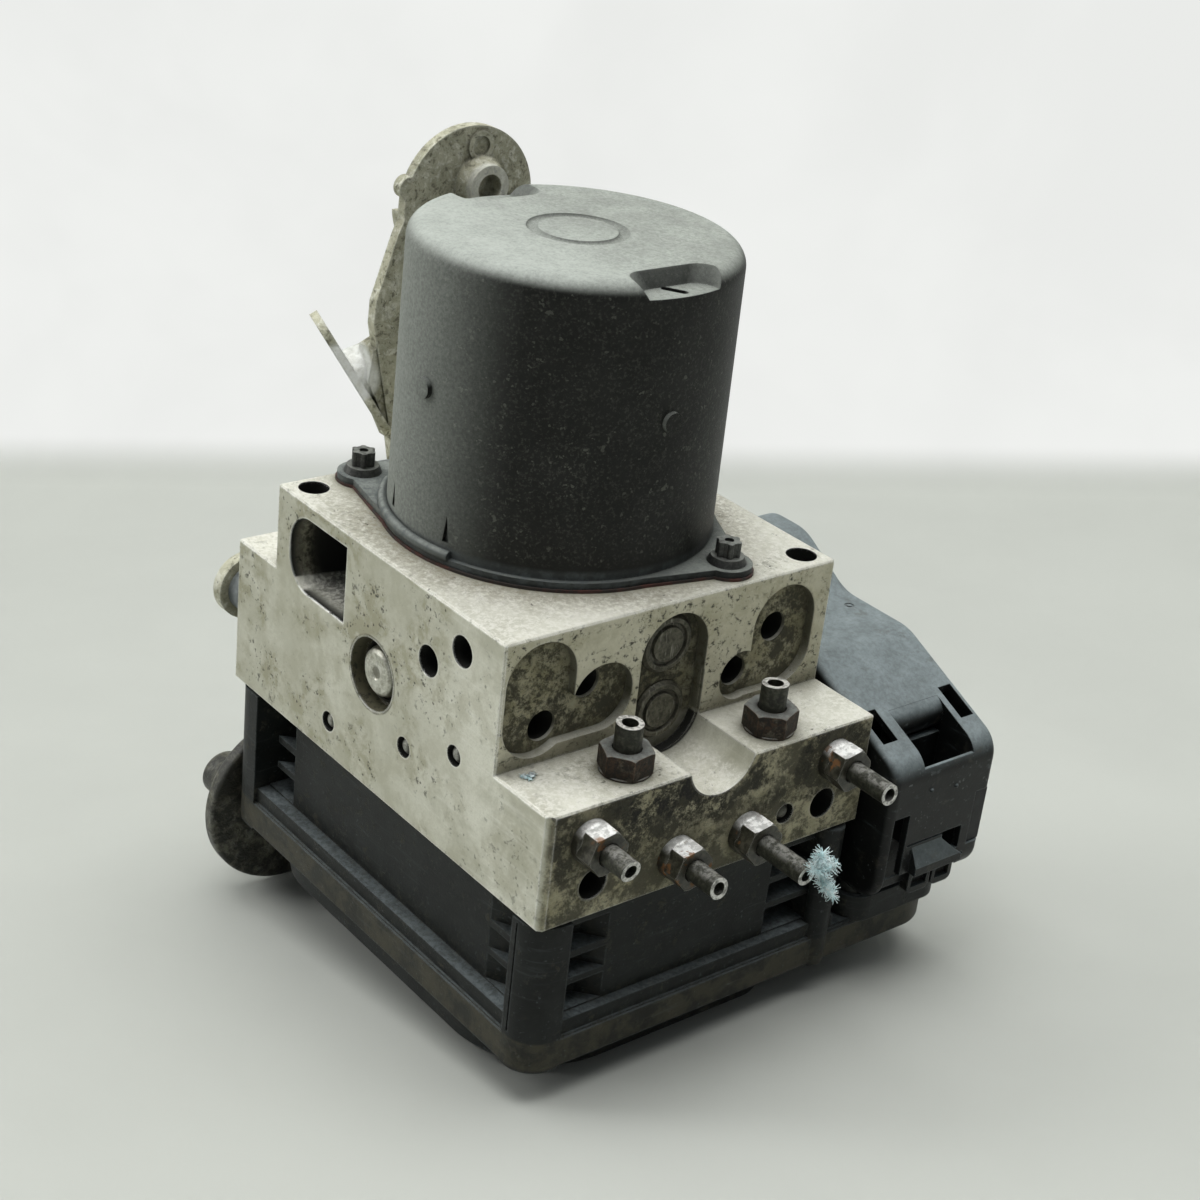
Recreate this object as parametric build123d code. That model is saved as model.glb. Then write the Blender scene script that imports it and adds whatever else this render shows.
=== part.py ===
from build123d import *
import math
import os

# ABS brake module: a drilled aluminium hydraulic block with a pump motor on top, a control
# unit underneath with its plug at the right, cut brake pipes at the front and a cast bracket
# at the back. Sizes are millimetres. While it is modelled, X runs right from the block's left
# face, Y runs back from its upper front face and Z runs up from its bottom face.

os.makedirs("parts", exist_ok=True)

# Hydraulic block
block_width = 100.0
upper_depth = 96.7
ledge_front = -21.2
block_back = 114.9
front_ledge_top = 30.2
back_ledge_top = 40.5
block_top = 63.3
edge_break = 0.4
service_hole = 3.9
ball_hole = 2.65

# Pump motor
motor_x = 50.0
motor_y = 51.0
can_radius = 40.4
can_top = 137.2
can_wall = 2.0
gasket_thickness = 0.7
flange_thickness = 1.6
motor_bolt_places = ((20.5, 90.5), (70.8, 8.0))
shaft_radius = 3.0
shaft_clearance = 0.03
eccentric_throw = 1.2
eccentric_ring = 9.0
chamber_radius = 11.0

# Pumps and accumulators
pump_z = 31.5
pump_bore = 4.05
pump_piston_radius = 4.0
pump_inner_tip = 10.6
accumulator_x = 50.2
accumulator_heights = (50.6, 32.8)
accumulator_bore = 7.0
accumulator_piston = 6.93

# Valves on the block's bottom
valve_columns = (17.0, 38.0, 62.0, 83.0)
valve_rows = (4.0, 28.0, 76.0)
valve_dome = 3.5
coil_outer = 7.8
motor_feed = (50.0, 78.0)
sensor_place = (50.0, 98.0)

# Tube nuts and the cut pipes in them
front_nut_places = ((12.0, 21.5), (39.0, 8.7), (61.0, 8.6), (88.0, 21.2))
front_pipe_ends = (-36.0, -37.0, -43.0, -40.5)
front_nut_flats = 10.0
front_pipe = 2.7
top_nut_places = ((28.2, -12.0), (71.6, -13.5))
top_nut_flats = 11.6
top_pipe = 3.3
port_radius = 5.0

# Control unit
unit_front = -21.2
unit_back = 115.0
unit_right = 140.0
neck_left = 5.0
neck_right = 98.0
neck_front = -17.4
neck_back = 111.0
seal_gap = 0.6
rim_top = -29.0
shelf_top = -32.5
rim_bottom = -41.0
cover_bottom = -52.0
unit_wall = 2.5
board_top = -35.4

# Plug and its header
hood_left = 102.5
hood_right = 139.5
hood_front = -30.0
hood_back = 66.0
hood_wall = 2.0
header_left = 105.0
header_right = 137.0
header_front = -20.5
header_back = 62.0
header_top = -8.0
pin_columns = (112.0, 117.0, 125.0, 130.0)
pin_rows = 7
pin_pitch = 10.0

# Bracket
top_ear = (67.3, 122.9)
top_ear_radius = 20.0
top_hole = (70.0, 127.5)
top_hole_radius = 3.6
lower_ear_radius = 25.6
lower_ear_places = ((20.7, -45.0), (79.3, -45.0))
pad_places = ((7.3, 22.2), (92.7, 22.2))
back_plate = (121.0, 124.6)
plate_bottom = 14.5
sheet = (118.2, 121.4)

# The row's origin: the mouth of the locating hole at the front right of the block's top.
datum = (94.1, 6.1, block_top)


def save(name, shape):
    solids = [solid.moved(Location((-datum[0], -datum[1], -datum[2]))) for solid in shape.solids()]
    whole = solids[0] if len(solids) == 1 else Compound(children=solids)
    whole.label = name
    export_step(whole, f"parts/{name}.step")


def box(x0, x1, y0, y1, z0, z1):
    return Pos((x0 + x1) / 2, (y0 + y1) / 2, (z0 + z1) / 2) * Box(x1 - x0, y1 - y0, z1 - z0)


def bar_x(y, z, radius, start, end):
    return Pos((start + end) / 2, y, z) * Rot(0, 90, 0) * Cylinder(radius, abs(end - start))


def bar_y(x, z, radius, start, end):
    return Pos(x, (start + end) / 2, z) * Rot(90, 0, 0) * Cylinder(radius, abs(end - start))


def bar_z(x, y, radius, start, end):
    return Pos(x, y, (start + end) / 2) * Cylinder(radius, abs(end - start))


# An outline drawn in Y and Z, thickened along X.
def plate_x(outline, left, right):
    drawing = Plane((left, 0, 0), x_dir=(0, 1, 0), z_dir=(1, 0, 0))
    return extrude(drawing * outline, right - left, dir=(1, 0, 0))


# An outline drawn in X and Z, thickened along Y.
def plate_y(outline, front, back):
    drawing = Plane((0, front, 0), x_dir=(1, 0, 0), z_dir=(0, -1, 0))
    return extrude(drawing * outline, back - front, dir=(0, 1, 0))


# An outline drawn in X and Y, thickened along Z.
def plate_z(outline, bottom, top):
    return extrude(Pos(0, 0, bottom) * outline, top - bottom, dir=(0, 0, 1))


def outline(points):
    return Polygon(*points, align=None)


def rounded(shape, places, radius):
    corners = [min(shape.vertices(), key=lambda v: (v.X - x) ** 2 + (v.Y - y) ** 2) for x, y in places]
    return fillet(corners, radius)


def obround(x, low, high, radius):
    return Pos(x, (low + high) / 2) * Rot(0, 0, 90) * SlotOverall(high - low, 2 * radius)


# A drilled blind hole with the drill's cone at its end, along -Y towards +Y or along X.
def drill_y(x, z, radius, mouth, depth):
    point = radius * 0.6
    tip = Pos(x, mouth + depth + point / 2, z) * Rot(-90, 0, 0) * Cone(radius, 0.2, point)
    return bar_y(x, z, radius, mouth - 1, mouth + depth) + tip


def drill_x(y, z, radius, mouth, depth):
    side = 1 if depth > 0 else -1
    point = radius * 0.6
    turn = Rot(0, 90, 0) if side > 0 else Rot(0, -90, 0)
    tip = Pos(mouth + depth + side * point / 2, y, z) * turn * Cone(radius, 0.2, point)
    return bar_x(y, z, radius, mouth - side, mouth + depth) + tip


# Hydraulic block ---------------------------------------------------------------------------

left_ball_places = ((68.7, 9.5), (35.7, 19.1), (15.6, 27.3))
front_ball_place = (73.7, 9.7)
ball_depth = 5.6


def block_body():
    side = outline(
        (
            (ledge_front, 0),
            (block_back, 0),
            (block_back, back_ledge_top),
            (upper_depth, back_ledge_top),
            (upper_depth, block_top),
            (0, block_top),
            (0, front_ledge_top),
            (ledge_front, front_ledge_top),
        )
    )
    body = plate_x(side, 0, block_width)
    inner = ((0, front_ledge_top), (upper_depth, back_ledge_top))
    sharp = [
        edge
        for edge in body.edges()
        if not any(abs(edge.center().Y - y) < 0.1 and abs(edge.center().Z - z) < 0.1 for y, z in inner)
    ]
    body = chamfer(sharp, edge_break)
    corner = outline(((-1, ledge_front - 1), (2.9, ledge_front - 1), (-1, ledge_front + 2.6)))
    return body - plate_z(corner, -1, front_ledge_top + 1)


# The cast recesses of the upper front face, with the channel that runs out over the ledge.
def front_recesses():
    shallow = 2.6
    deep = 3.5
    left = obround(11.1, 32.0, 61.4, 10.0)
    left += Pos(29.6, 42.8) * RectangleRounded(17.6, 17.6, 8.4)
    left += Pos(20.0, 39.5) * Rectangle(18.0, 11.0)
    right = obround(85.4, 31.6, 59.5, 10.0)
    right += Pos(72.8, 37.9) * Circle(6.5)
    right += Pos(79.0, 36.5) * Rectangle(12.0, 9.4)
    middle = obround(50.5, 22.1, 59.7, 10.2)
    channel = Pos(50.7, 32.3) * Circle(10.2) + Pos(50.7, 37.4) * Rectangle(20.4, 10.2)
    cuts = plate_y(left, -1, shallow) + plate_y(right, -1, shallow)
    return cuts + plate_y(middle, -1, deep) + plate_y(channel, ledge_front - 1, 1)


# A cast pocket in the left face that narrows inwards, rounded at its back end.
def left_pocket():
    sections = []
    for x, draft in ((-1.0, 0.0), (17.0, 2.0)):
        width, height = 26.1 - 2 * draft, 20.5 - 2 * draft
        shape = Pos(77.45, 49.25) * Rectangle(width, height)
        back = 90.5 - draft
        shape = rounded(shape, ((back, 39.0 + draft), (back, 59.5 - draft)), 9.0 - draft)
        sections.append(Plane((x, 0, 0), x_dir=(0, 1, 0), z_dir=(1, 0, 0)) * shape)
    return loft(sections)


def pump_bores():
    cuts = []
    for side in (-1, 1):
        face = motor_x + side * 50
        steps = ((9.3, 4.5), (8.5, 12.0), (7.0, 27.0), (pump_bore, 42.0))
        for radius, depth in steps:
            cuts.append(bar_x(motor_y, pump_z, radius, face + side, face - side * depth))
    return cuts


def accumulator_bores():
    cuts = []
    for z in accumulator_heights:
        cuts.append(bar_y(accumulator_x, z, 7.65, 3.0, 12.6))
        cuts.append(bar_y(accumulator_x, z, accumulator_bore, 12.0, 36.0))
    return cuts


def shaft_chamber():
    chamber = bar_z(motor_x, motor_y, chamber_radius, 25.0, block_top + 1)
    return chamber + bar_z(motor_x, motor_y, shaft_radius + shaft_clearance, 19.0, 26.0)


def port_bores():
    cuts = []
    for x, z in front_nut_places:
        cuts.append(bar_y(x, z, port_radius, ledge_front - 1, ledge_front + 13.0))
    for x, y in top_nut_places:
        cuts.append(bar_z(x, y, port_radius, front_ledge_top - 13.0, front_ledge_top + 1))
    return cuts


def plain_holes():
    cuts = [drill_x(28.3, 46.0, service_hole, 0, 14), drill_x(15.7, 54.4, service_hole, 0, 14)]
    for x, z in ((26.1, 46.5), (14.3, 38.1), (84.3, 47.4), (72.8, 37.9)):
        cuts.append(drill_y(x, z, service_hole, 3.0, 9.0))
    for x, z in ((14.5, 8.8), (86.3, 9.0)):
        cuts.append(drill_y(x, z, 4.0, ledge_front, 12.0))
    for x, y in ((6.6, 90.9), (datum[0], datum[1])):
        cuts.append(bar_z(x, y, service_hole, block_top - 5.0, block_top + 1))
    for x, y in motor_bolt_places:
        cuts.append(bar_z(x, y, 2.5, block_top - 13.0, block_top + 1))
    for x, z in pad_places:
        cuts.append(bar_y(x, z, 4.0, block_back - 18.0, block_back + 1))
    return cuts


def ball_bores():
    cuts = [bar_x(y, z, ball_hole, -1, ball_depth) for y, z in left_ball_places]
    cuts += [bar_x(y, z, ball_hole, block_width - ball_depth, block_width + 1) for y, z in left_ball_places]
    cuts.append(bar_y(front_ball_place[0], front_ball_place[1], ball_hole, ledge_front - 1, ledge_front + ball_depth))
    return cuts


def valve_bores():
    cuts = [bar_z(x, y, 5.6, -1, 14.0) for x in valve_columns for y in valve_rows]
    cuts.append(bar_z(sensor_place[0], sensor_place[1], 6.1, -1, 12.0))
    cuts.append(bar_z(motor_feed[0], motor_feed[1], 3.9, -1, block_top + 1))
    return cuts


def hydraulic_block():
    body = block_body() - front_recesses() - left_pocket() - shaft_chamber()
    for group in (pump_bores(), accumulator_bores(), port_bores(), plain_holes(), ball_bores(), valve_bores()):
        body -= group
    return body


def sealing_balls():
    balls = [Pos(2.9, y, z) * Sphere(ball_hole - 0.05) for y, z in left_ball_places]
    balls += [Pos(block_width - 2.9, y, z) * Sphere(ball_hole - 0.05) for y, z in left_ball_places]
    balls.append(Pos(front_ball_place[0], ledge_front + 2.9, front_ball_place[1]) * Sphere(ball_hole - 0.05))
    return Compound(children=balls)


# Pump motor --------------------------------------------------------------------------------


def centred(shape):
    return Pos(motor_x, motor_y, 0) * shape


def revolved(points):
    profile = Plane.XZ * outline(points)
    return centred(revolve(profile, Axis.Z))


def flange_outline(radius, ear):
    shape = Pos(motor_x, motor_y) * Circle(radius)
    for x, y in motor_bolt_places:
        angle = math.degrees(math.atan2(y - motor_y, x - motor_x))
        reach = math.hypot(y - motor_y, x - motor_x)
        taper = Polygon((0, -radius * 0.62), (radius * 0.79, -radius * 0.6), (reach, -ear), (reach, ear),
                        (radius * 0.79, radius * 0.6), (0, radius * 0.62), align=None)
        shape += Pos(motor_x, motor_y) * Rot(0, 0, angle) * taper
        shape += Pos(x, y) * Circle(ear)
    return shape


def motor_gasket():
    sheet = flange_outline(can_radius + 2.0, 6.8) - Pos(motor_x, motor_y) * Circle(37.0)
    for x, y in motor_bolt_places:
        sheet -= Pos(x, y) * Circle(2.7)
    return plate_z(sheet, block_top, block_top + gasket_thickness)


# The stamped dips in the can's top rim with sloping walls, drawn larger by the wall for the inside.
def rim_dips(grow):
    floor = can_top - 3.8 - grow
    dips = []
    for middle, width, inner, side in ((51.0, 21.0, 32.4, -1), (49.3, 19.0, 28.6, 1)):
        sections = []
        for z, spread in ((floor, grow), (can_top + 1, grow + 2.6)):
            shape = RectangleRounded(width + 2 * spread, 30.0 + 2 * spread, 5.0)
            sections.append(Pos(middle, motor_y + side * (inner + 15.0), z) * shape)
        dips.append(loft(sections))
    return dips[0] + dips[1]


def crimp_slits():
    cuts = []
    wedge = Plane.YZ * outline(((-0.9, 68.8), (0.9, 68.8), (0, 75.6)))
    for angle in (162.5, -165.0, -17.5, 15.0):
        slit = Rot(0, 0, angle) * Pos(can_radius - 1.2, 0, 0) * extrude(wedge, 3.0)
        cuts.append(centred(slit))
    return cuts


def motor_can():
    foot = block_top + gasket_thickness
    outer = centred(Pos(0, 0, foot) * Cone(can_radius, can_radius - 0.5, can_top - foot,
                                           align=(Align.CENTER, Align.CENTER, Align.MIN)))
    outer = fillet(outer.edges().sort_by(Axis.Z)[-1], 4.5) - rim_dips(0)
    inner = centred(Pos(0, 0, foot - 1) * Cylinder(can_radius - can_wall - 0.5, can_top - can_wall - foot + 1,
                                                   align=(Align.CENTER, Align.CENTER, Align.MIN)))
    inner -= rim_dips(can_wall)
    flange = flange_outline(can_radius + 1.4, 6.4)
    for x, y in motor_bolt_places:
        flange -= Pos(x, y) * Circle(2.7)
    can = outer + plate_z(flange, foot, foot + flange_thickness)
    can -= inner
    hub = revolved(((8.0, can_top - 9.2), (10.2, can_top - 9.2), (10.2, can_top - 1.0), (8.0, can_top - 1.0)))
    can = can + hub - centred(Pos(0, 0, can_top + 0.9) * Torus(10.9, 1.65))
    bead = Plane.XZ * Pos(can_radius + 0.8, foot + flange_thickness + 0.5) * Circle(1.3)
    can += centred(Rot(0, 0, 132.0) * revolve(bead, Axis.Z, 66.0))
    for angle in (180.0, -90.0, 0.0, 90.0):
        can += centred(Rot(0, 0, angle) * bar_x(0, 103.8, 2.5, can_radius - 1.6, can_radius + 0.9))
    can -= plate_z(Pos(50.6, 15.8) * Rot(0, 0, -55) * SlotOverall(6.4, 2.2), can_top - 8, can_top)
    can -= crimp_slits()
    return can


# A bolt with a six-lobed head over a round flange, head up along +Z.
def lobed_bolt(shank, length, flange, lobe_reach, head):
    body = Pos(0, 0, -length / 2) * Cylinder(shank, length)
    body += Pos(0, 0, 0.9) * Cone(flange, flange - 0.8, 1.8)
    body += Pos(0, 0, head / 2) * Cylinder(lobe_reach * 0.8, head)
    for step in range(6):
        body += Rot(0, 0, 60 * step) * Pos(lobe_reach * 0.76, 0, head / 2) * Cylinder(lobe_reach * 0.24, head)
    return body - Pos(0, 0, head) * Cylinder(lobe_reach * 0.38, 1.6)


def motor_bolts():
    seat = block_top + gasket_thickness + flange_thickness
    bolts = [Pos(x, y, seat) * lobed_bolt(2.4, 13.0, 4.9, 3.15, 5.6) for x, y in motor_bolt_places]
    return Compound(children=bolts)


def field_magnets():
    magnets = []
    for step in range(4):
        section = Plane.XZ * outline(((31.2, 76.0), (37.7, 76.0), (37.7, 112.0), (31.2, 112.0)))
        magnets.append(centred(Rot(0, 0, 90 * step + 10) * revolve(section, Axis.Z, 70.0)))
    return Compound(children=magnets)


def brush_plate():
    plate = plate_z(Circle(37.0) - Circle(12.0), 66.5, 69.5)
    for step in range(2):
        guide = box(9.4, 20.0, -3.0, 3.0, 66.5, 71.4)
        plate += Rot(0, 0, 180 * step + 90) * guide
    plate = centred(plate)
    return plate - bar_z(motor_feed[0], motor_feed[1], 4.0, 60, 80)


def can_bearing():
    race = Circle(7.95) - Circle(shaft_radius + shaft_clearance)
    return centred(plate_z(race, can_top - 8.6, can_top - 3.0))


def block_bearing():
    race = Circle(chamber_radius - 0.03) - Circle(shaft_radius + shaft_clearance)
    return centred(plate_z(race, 52.0, 59.0))


def motor_feed_pin():
    pin = bar_z(motor_feed[0], motor_feed[1], 3.8, -12.0, 66.4)
    return pin + bar_z(motor_feed[0], motor_feed[1], 1.4, board_top, -12.0)


def rotor_shaft():
    shaft = centred(plate_z(Circle(shaft_radius), 20.5, can_top - 4.0))
    return shaft + centred(Pos(eccentric_throw, 0, 31.5) * Cylinder(5.0, 10.0))


def eccentric_bearing():
    ring = Circle(eccentric_ring) - Circle(5.0)
    return centred(Pos(eccentric_throw, 0, 0) * plate_z(ring, 27.0, 36.0))


def armature():
    stack = Circle(30.2) - Circle(shaft_radius)
    for step in range(8):
        stack -= Rot(0, 0, 45 * step) * Pos(21.5, 0) * RectangleRounded(13.0, 7.0, 3.0)
        stack -= Rot(0, 0, 45 * step) * Pos(29.5, 0) * Rectangle(6.0, 2.4)
    return centred(plate_z(stack, 78.0, 110.0))


def armature_windings():
    windings = plate_z(Circle(27.0) - Circle(13.0), 110.0, 117.0)
    windings += plate_z(Circle(27.0) - Circle(13.0), 72.0, 78.0)
    for step in range(8):
        bundle = Rot(0, 0, 45 * step) * Pos(21.5, 0) * RectangleRounded(12.6, 6.6, 2.8)
        windings += plate_z(bundle, 77.0, 111.0)
    return centred(windings)


def commutator():
    drum = plate_z(Circle(9.0) - Circle(shaft_radius), 64.5, 74.5)
    for step in range(12):
        drum -= Rot(0, 0, 30 * step) * box(8.3, 10.0, -0.35, 0.35, 64.0, 75.0)
    return centred(drum)


# Pumps and accumulators --------------------------------------------------------------------


# A coil spring along +Z from the origin, as closed rings joined by a slanted wire.
def spring(radius, wire, length, turns):
    path = Helix(length / turns, length, radius)
    return sweep(Plane(path @ 0, z_dir=path % 0) * Circle(wire), path)


def pump_piston(side):
    inner = pump_inner_tip
    body = bar_x(0, 0, pump_piston_radius, inner, 28.0) + bar_x(0, 0, 6.0, 24.5, 26.5)
    body = chamfer(body.faces().sort_by(Axis.X)[0].edges(), 0.8)
    return placed_pump(body, side)


def placed_pump(shape, side):
    turn = Rot(0, 0, 0) if side > 0 else Rot(0, 0, 180)
    return Pos(motor_x, motor_y, pump_z) * turn * shape


def pump_spring(side):
    coil = Pos(27.2, 0, 0) * Rot(0, 90, 0) * spring(5.4, 0.55, 7.4, 4)
    return placed_pump(coil, side)


def pump_plug(side):
    section = ((0, 38.2), (8.45, 38.2), (8.45, 45.6), (7.9, 46.3), (7.4, 46.3), (7.0, 45.4), (6.4, 45.4),
               (6.4, 47.0), (6.0, 48.0), (5.1, 48.6), (2.0, 48.8), (1.5, 48.4), (0, 48.2))
    body = Rot(0, 90, 0) * revolve(Plane.XZ * outline(section), Axis.Z)
    return placed_pump(body, side)


def accumulator_parts(z):
    piston = bar_y(0, 0, accumulator_piston, 27.7, 35.7) - bar_y(0, 0, 4.2, 26.0, 32.5)
    coil = Pos(0, 17.5, 0) * Rot(-90, 0, 0) * spring(5.3, 0.6, 9.6, 4)
    section = ((0, 2.2), (4.4, 2.2), (4.7, 3.0), (5.5, 3.0), (5.8, 2.2), (6.8, 2.2), (7.6, 3.1), (7.6, 12.4), (0, 12.4))
    cap = revolve(outline(section), Axis.Y)
    place = Pos(accumulator_x, 0, z)
    return place * piston, place * coil, place * cap


# Valves, sensor and what they plug into ----------------------------------------------------


def valve_cartridge(x, y):
    section = ((0, -20.0), (2.6, -20.0), (valve_dome, -19.0), (valve_dome, -0.2), (5.5, -0.2), (5.5, 8.0),
               (4.2, 8.6), (4.2, 12.6), (3.4, 13.6), (0, 13.6))
    return Pos(x, y, 0) * revolve(Plane.XZ * outline(section), Axis.Z)


def valve_group(column_pair, rows):
    return Compound(children=[valve_cartridge(x, y) for x in column_pair for y in rows])


def pressure_sensor():
    x, y = sensor_place
    section = ((0, -24.0), (4.0, -24.0), (4.0, -8.0), (7.4, -8.0), (7.4, -1.2), (6.0, -0.6), (6.0, 11.4), (0, 11.4))
    return Pos(x, y, 0) * revolve(Plane.XZ * outline(section), Axis.Z)


def valve_coils():
    coils = []
    for x in valve_columns:
        for y in valve_rows:
            winding = Circle(coil_outer) - Circle(valve_dome + 0.2)
            coils.append(Pos(x, y, 0) * plate_z(winding, -21.0, -3.0))
    return Compound(children=coils)


# Tube nuts and cut pipes -------------------------------------------------------------------


# A tube nut with its head up along +Z and its collar's underside at the origin.
def tube_nut(pipe, flats, collar, head, lean):
    corner = flats / math.sqrt(3)
    nut = Pos(0, 0, -5.5) * Cylinder(port_radius - 0.05, 11.0)
    shoulder = Pos(0, 0, collar / 2) * Cylinder(flats / 2 + 0.4, collar)
    nut += fillet(shoulder.edges().sort_by(Axis.Z)[-1], min(1.6, collar * 0.6))
    hexagon = RegularPolygon(flats / 2, 6, major_radius=False)
    prism = Rot(0, 0, lean) * Pos(0, 0, collar * 0.7) * extrude(hexagon, head)
    crown = Pos(0, 0, collar * 0.7 + head / 2) * Cone(corner + head * 1.2, corner * 0.92, head)
    foot = Pos(0, 0, collar * 0.7 + head / 2) * Cone(corner * 0.94, corner + head * 1.6, head)
    nut += prism & crown & foot
    return nut - Cylinder(pipe + 0.25, 60)


def front_tube_nuts():
    nuts = []
    for x, z in front_nut_places:
        nut = tube_nut(front_pipe, front_nut_flats, 3.4, 4.8, 10.0)
        nuts.append(Pos(x, ledge_front, z) * Rot(90, 0, 0) * nut)
    return Compound(children=nuts)


def top_tube_nuts():
    nuts = []
    for (x, y), turn in zip(top_nut_places, (8.0, 20.0)):
        nuts.append(Pos(x, y, front_ledge_top) * tube_nut(top_pipe, top_nut_flats, 0.6, 5.6, turn))
    return Compound(children=nuts)


# A pipe from its flared seat at the port's end to a cut end that is a few degrees off square.
def pipe_stub(radius, length, slope):
    pipe = bar_z(0, 0, radius, -12.8, length + 1)
    pipe += Pos(0, 0, -11.9) * Cone(4.6, radius, 1.8)
    pipe -= Cylinder(radius * 0.6, 2 * length + 40)
    waste = Pos(0, 0, length) * Rot(slope, 0, 0) * Pos(0, 0, 5.0) * Box(20, 20, 10)
    return pipe - waste


def front_pipe_stubs():
    stubs = []
    for (x, z), end, slope in zip(front_nut_places, front_pipe_ends, (6.0, -8.0, 5.0, -6.0)):
        stubs.append(Pos(x, ledge_front, z) * Rot(90, 0, 0) * pipe_stub(front_pipe, ledge_front - end, slope))
    return Compound(children=stubs)


def top_pipe_stubs():
    stubs = [Pos(x, y, front_ledge_top) * pipe_stub(top_pipe, 12.4, slope)
             for (x, y), slope in zip(top_nut_places, (3.0, -4.0))]
    return Compound(children=stubs)


# Control unit ------------------------------------------------------------------------------

column_radius = 8.0
louvre_top = -4.6
louvre_bottom = -28.6
fin_heights = ((-13.8, -11.8), (-21.4, -19.6))


# The blind pockets beside the corner posts, wedge-shaped from above, and the reach of their fins.
def louvre_plans():
    front_left = ((10.3, neck_front - 1), (24.5, neck_front - 1), (24.5, neck_front), (20, neck_front + 5), (10.3, neck_front + 8))
    front_right = tuple((100.8 - x, y) for x, y in front_left)
    left_front = ((neck_left - 1, -11.5), (neck_left - 1, 2.5), (neck_left, 2.5), (neck_left + 3.5, -4), (neck_left + 5, -11.5))
    left_back = ((neck_left - 1, 103), (neck_left - 1, 91), (neck_left, 91), (neck_left + 7, 94), (neck_left + 10, 103))
    back_fin = ((neck_left, 90), (neck_left + 7.5, 93), (neck_left, 99.5))
    return ((front_left, front_left), (front_right, front_right), (left_front, left_front), (left_back, back_fin))


def louvre_pockets():
    pockets = []
    for plan, fin_plan in louvre_plans():
        pocket = plate_z(outline(plan), louvre_bottom, louvre_top)
        for low, high in fin_heights:
            pocket -= plate_z(outline(fin_plan) & neck_outline(0), low, high)
        pockets.append(pocket)
    return pockets


# The wall behind each pocket, which keeps it closed to the inside.
def louvre_linings():
    linings = []
    for plan, _ in louvre_plans():
        backing = offset(outline(plan), 1.6, kind=Kind.INTERSECTION) & neck_outline(0.3)
        linings.append(plate_z(backing, louvre_bottom - 1.6, -seal_gap))
    return linings


def rim_outline(inset):
    shape = outline(((inset, unit_front + inset), (unit_right - inset, unit_front + inset),
                     (unit_right - inset, unit_back - inset), (inset, unit_back - inset)))
    left = ((0, unit_front), (0, unit_back))
    right = ((unit_right, unit_front), (unit_right, unit_back))
    return rounded(rounded(shape, left, column_radius), right, 14.0)


def neck_outline(inset):
    x0, x1 = neck_left + inset, neck_right - inset
    y0, y1 = neck_front + inset, neck_back - inset
    return Pos((x0 + x1) / 2, (y0 + y1) / 2) * RectangleRounded(x1 - x0, y1 - y0, 4.0)


# Rounded posts flush with the block's corners, from the seal down past the rim.
def corner_posts():
    posts = plate_z(rim_outline(0), rim_bottom - 0.6, -seal_gap)
    near_left = box(-1, 10.3, unit_front - 1, -11.5, -60, 5)
    back_left = box(-1, 9.0, 103.0, unit_back + 1, -60, 5)
    front_right = plate_z(Pos(93.8, -18.6) * Circle(3.8), rim_bottom - 0.6, -seal_gap)
    back_right = box(90.5, 97.5, neck_back - 1, unit_back, rim_bottom - 0.6, -seal_gap)
    return (posts & (near_left + back_left)) + front_right + back_right


def ecu_shell():
    shell = plate_z(neck_outline(0), shelf_top, -seal_gap)
    rim = plate_z(rim_outline(0), rim_bottom, rim_top)
    rim -= box(neck_right + 1.0, unit_right + 1, unit_front - 1, unit_back + 1, shelf_top, 0)
    lip = plate_z(rim_outline(0) - rim_outline(1.2), -33.4, rim_top)
    return shell + (rim - lip) + plate_z(rim_outline(0.6), -33.4, -33.0)


def ecu_housing():
    body = ecu_shell() + corner_posts() + header_shroud()
    body -= plate_z(neck_outline(unit_wall), shelf_top - 4, 1)
    body -= plate_z(rim_outline(unit_wall), rim_bottom - 2, shelf_top - unit_wall)
    body += louvre_linings()
    body -= louvre_pockets()
    body -= box(-1, 0.5, -13.7, -13.2, -32, -1.5)
    body -= header_cavity()
    body -= [box(x - 0.5, x + 0.5, y - 0.5, y + 0.5, -45, 0) for x, y in pin_places()]
    return body


def header_shroud():
    middle_x, middle_y = (header_left + header_right) / 2, (header_front + header_back) / 2
    width, depth = header_right - header_left, header_back - header_front
    shroud = Pos(middle_x, middle_y) * RectangleRounded(width, depth, 6.0)
    foot = Pos(middle_x, middle_y) * RectangleRounded(width + 3.0, depth + 3.0, 7.0)
    return plate_z(shroud, shelf_top - 1, header_top) + plate_z(foot, shelf_top - 1, -26.0)


def header_cavity():
    middle_x, middle_y = (header_left + header_right) / 2, (header_front + header_back) / 2
    width, depth = header_right - header_left - 4.4, header_back - header_front - 4.4
    hollow = Pos(middle_x, middle_y) * RectangleRounded(width, depth, 4.0)
    return plate_z(hollow, shelf_top + 2.5, header_top + 1)


def pin_places():
    start = (header_front + header_back) / 2 - pin_pitch * (pin_rows - 1) / 2
    return [(x, start + pin_pitch * row) for x in pin_columns for row in range(pin_rows)]


def connector_pins():
    pins = [box(x - 0.5, x + 0.5, y - 0.5, y + 0.5, board_top, -16.0) for x, y in pin_places()]
    return Compound(children=pins)


def ecu_gasket():
    band = neck_outline(0.2) - neck_outline(unit_wall - 0.2)
    return plate_z(band, -seal_gap, 0)


def circuit_board():
    underside = board_top - 1.6
    board = box(9.0, 133.0, -12.0, 106.0, underside, board_top)
    board += box(30.0, 52.0, 30.0, 52.0, underside - 2.0, underside)
    board += box(66.0, 82.0, 60.0, 76.0, underside - 1.6, underside)
    return board + bar_z(24.0, 84.0, 6.0, underside - 4.0, underside)


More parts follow.
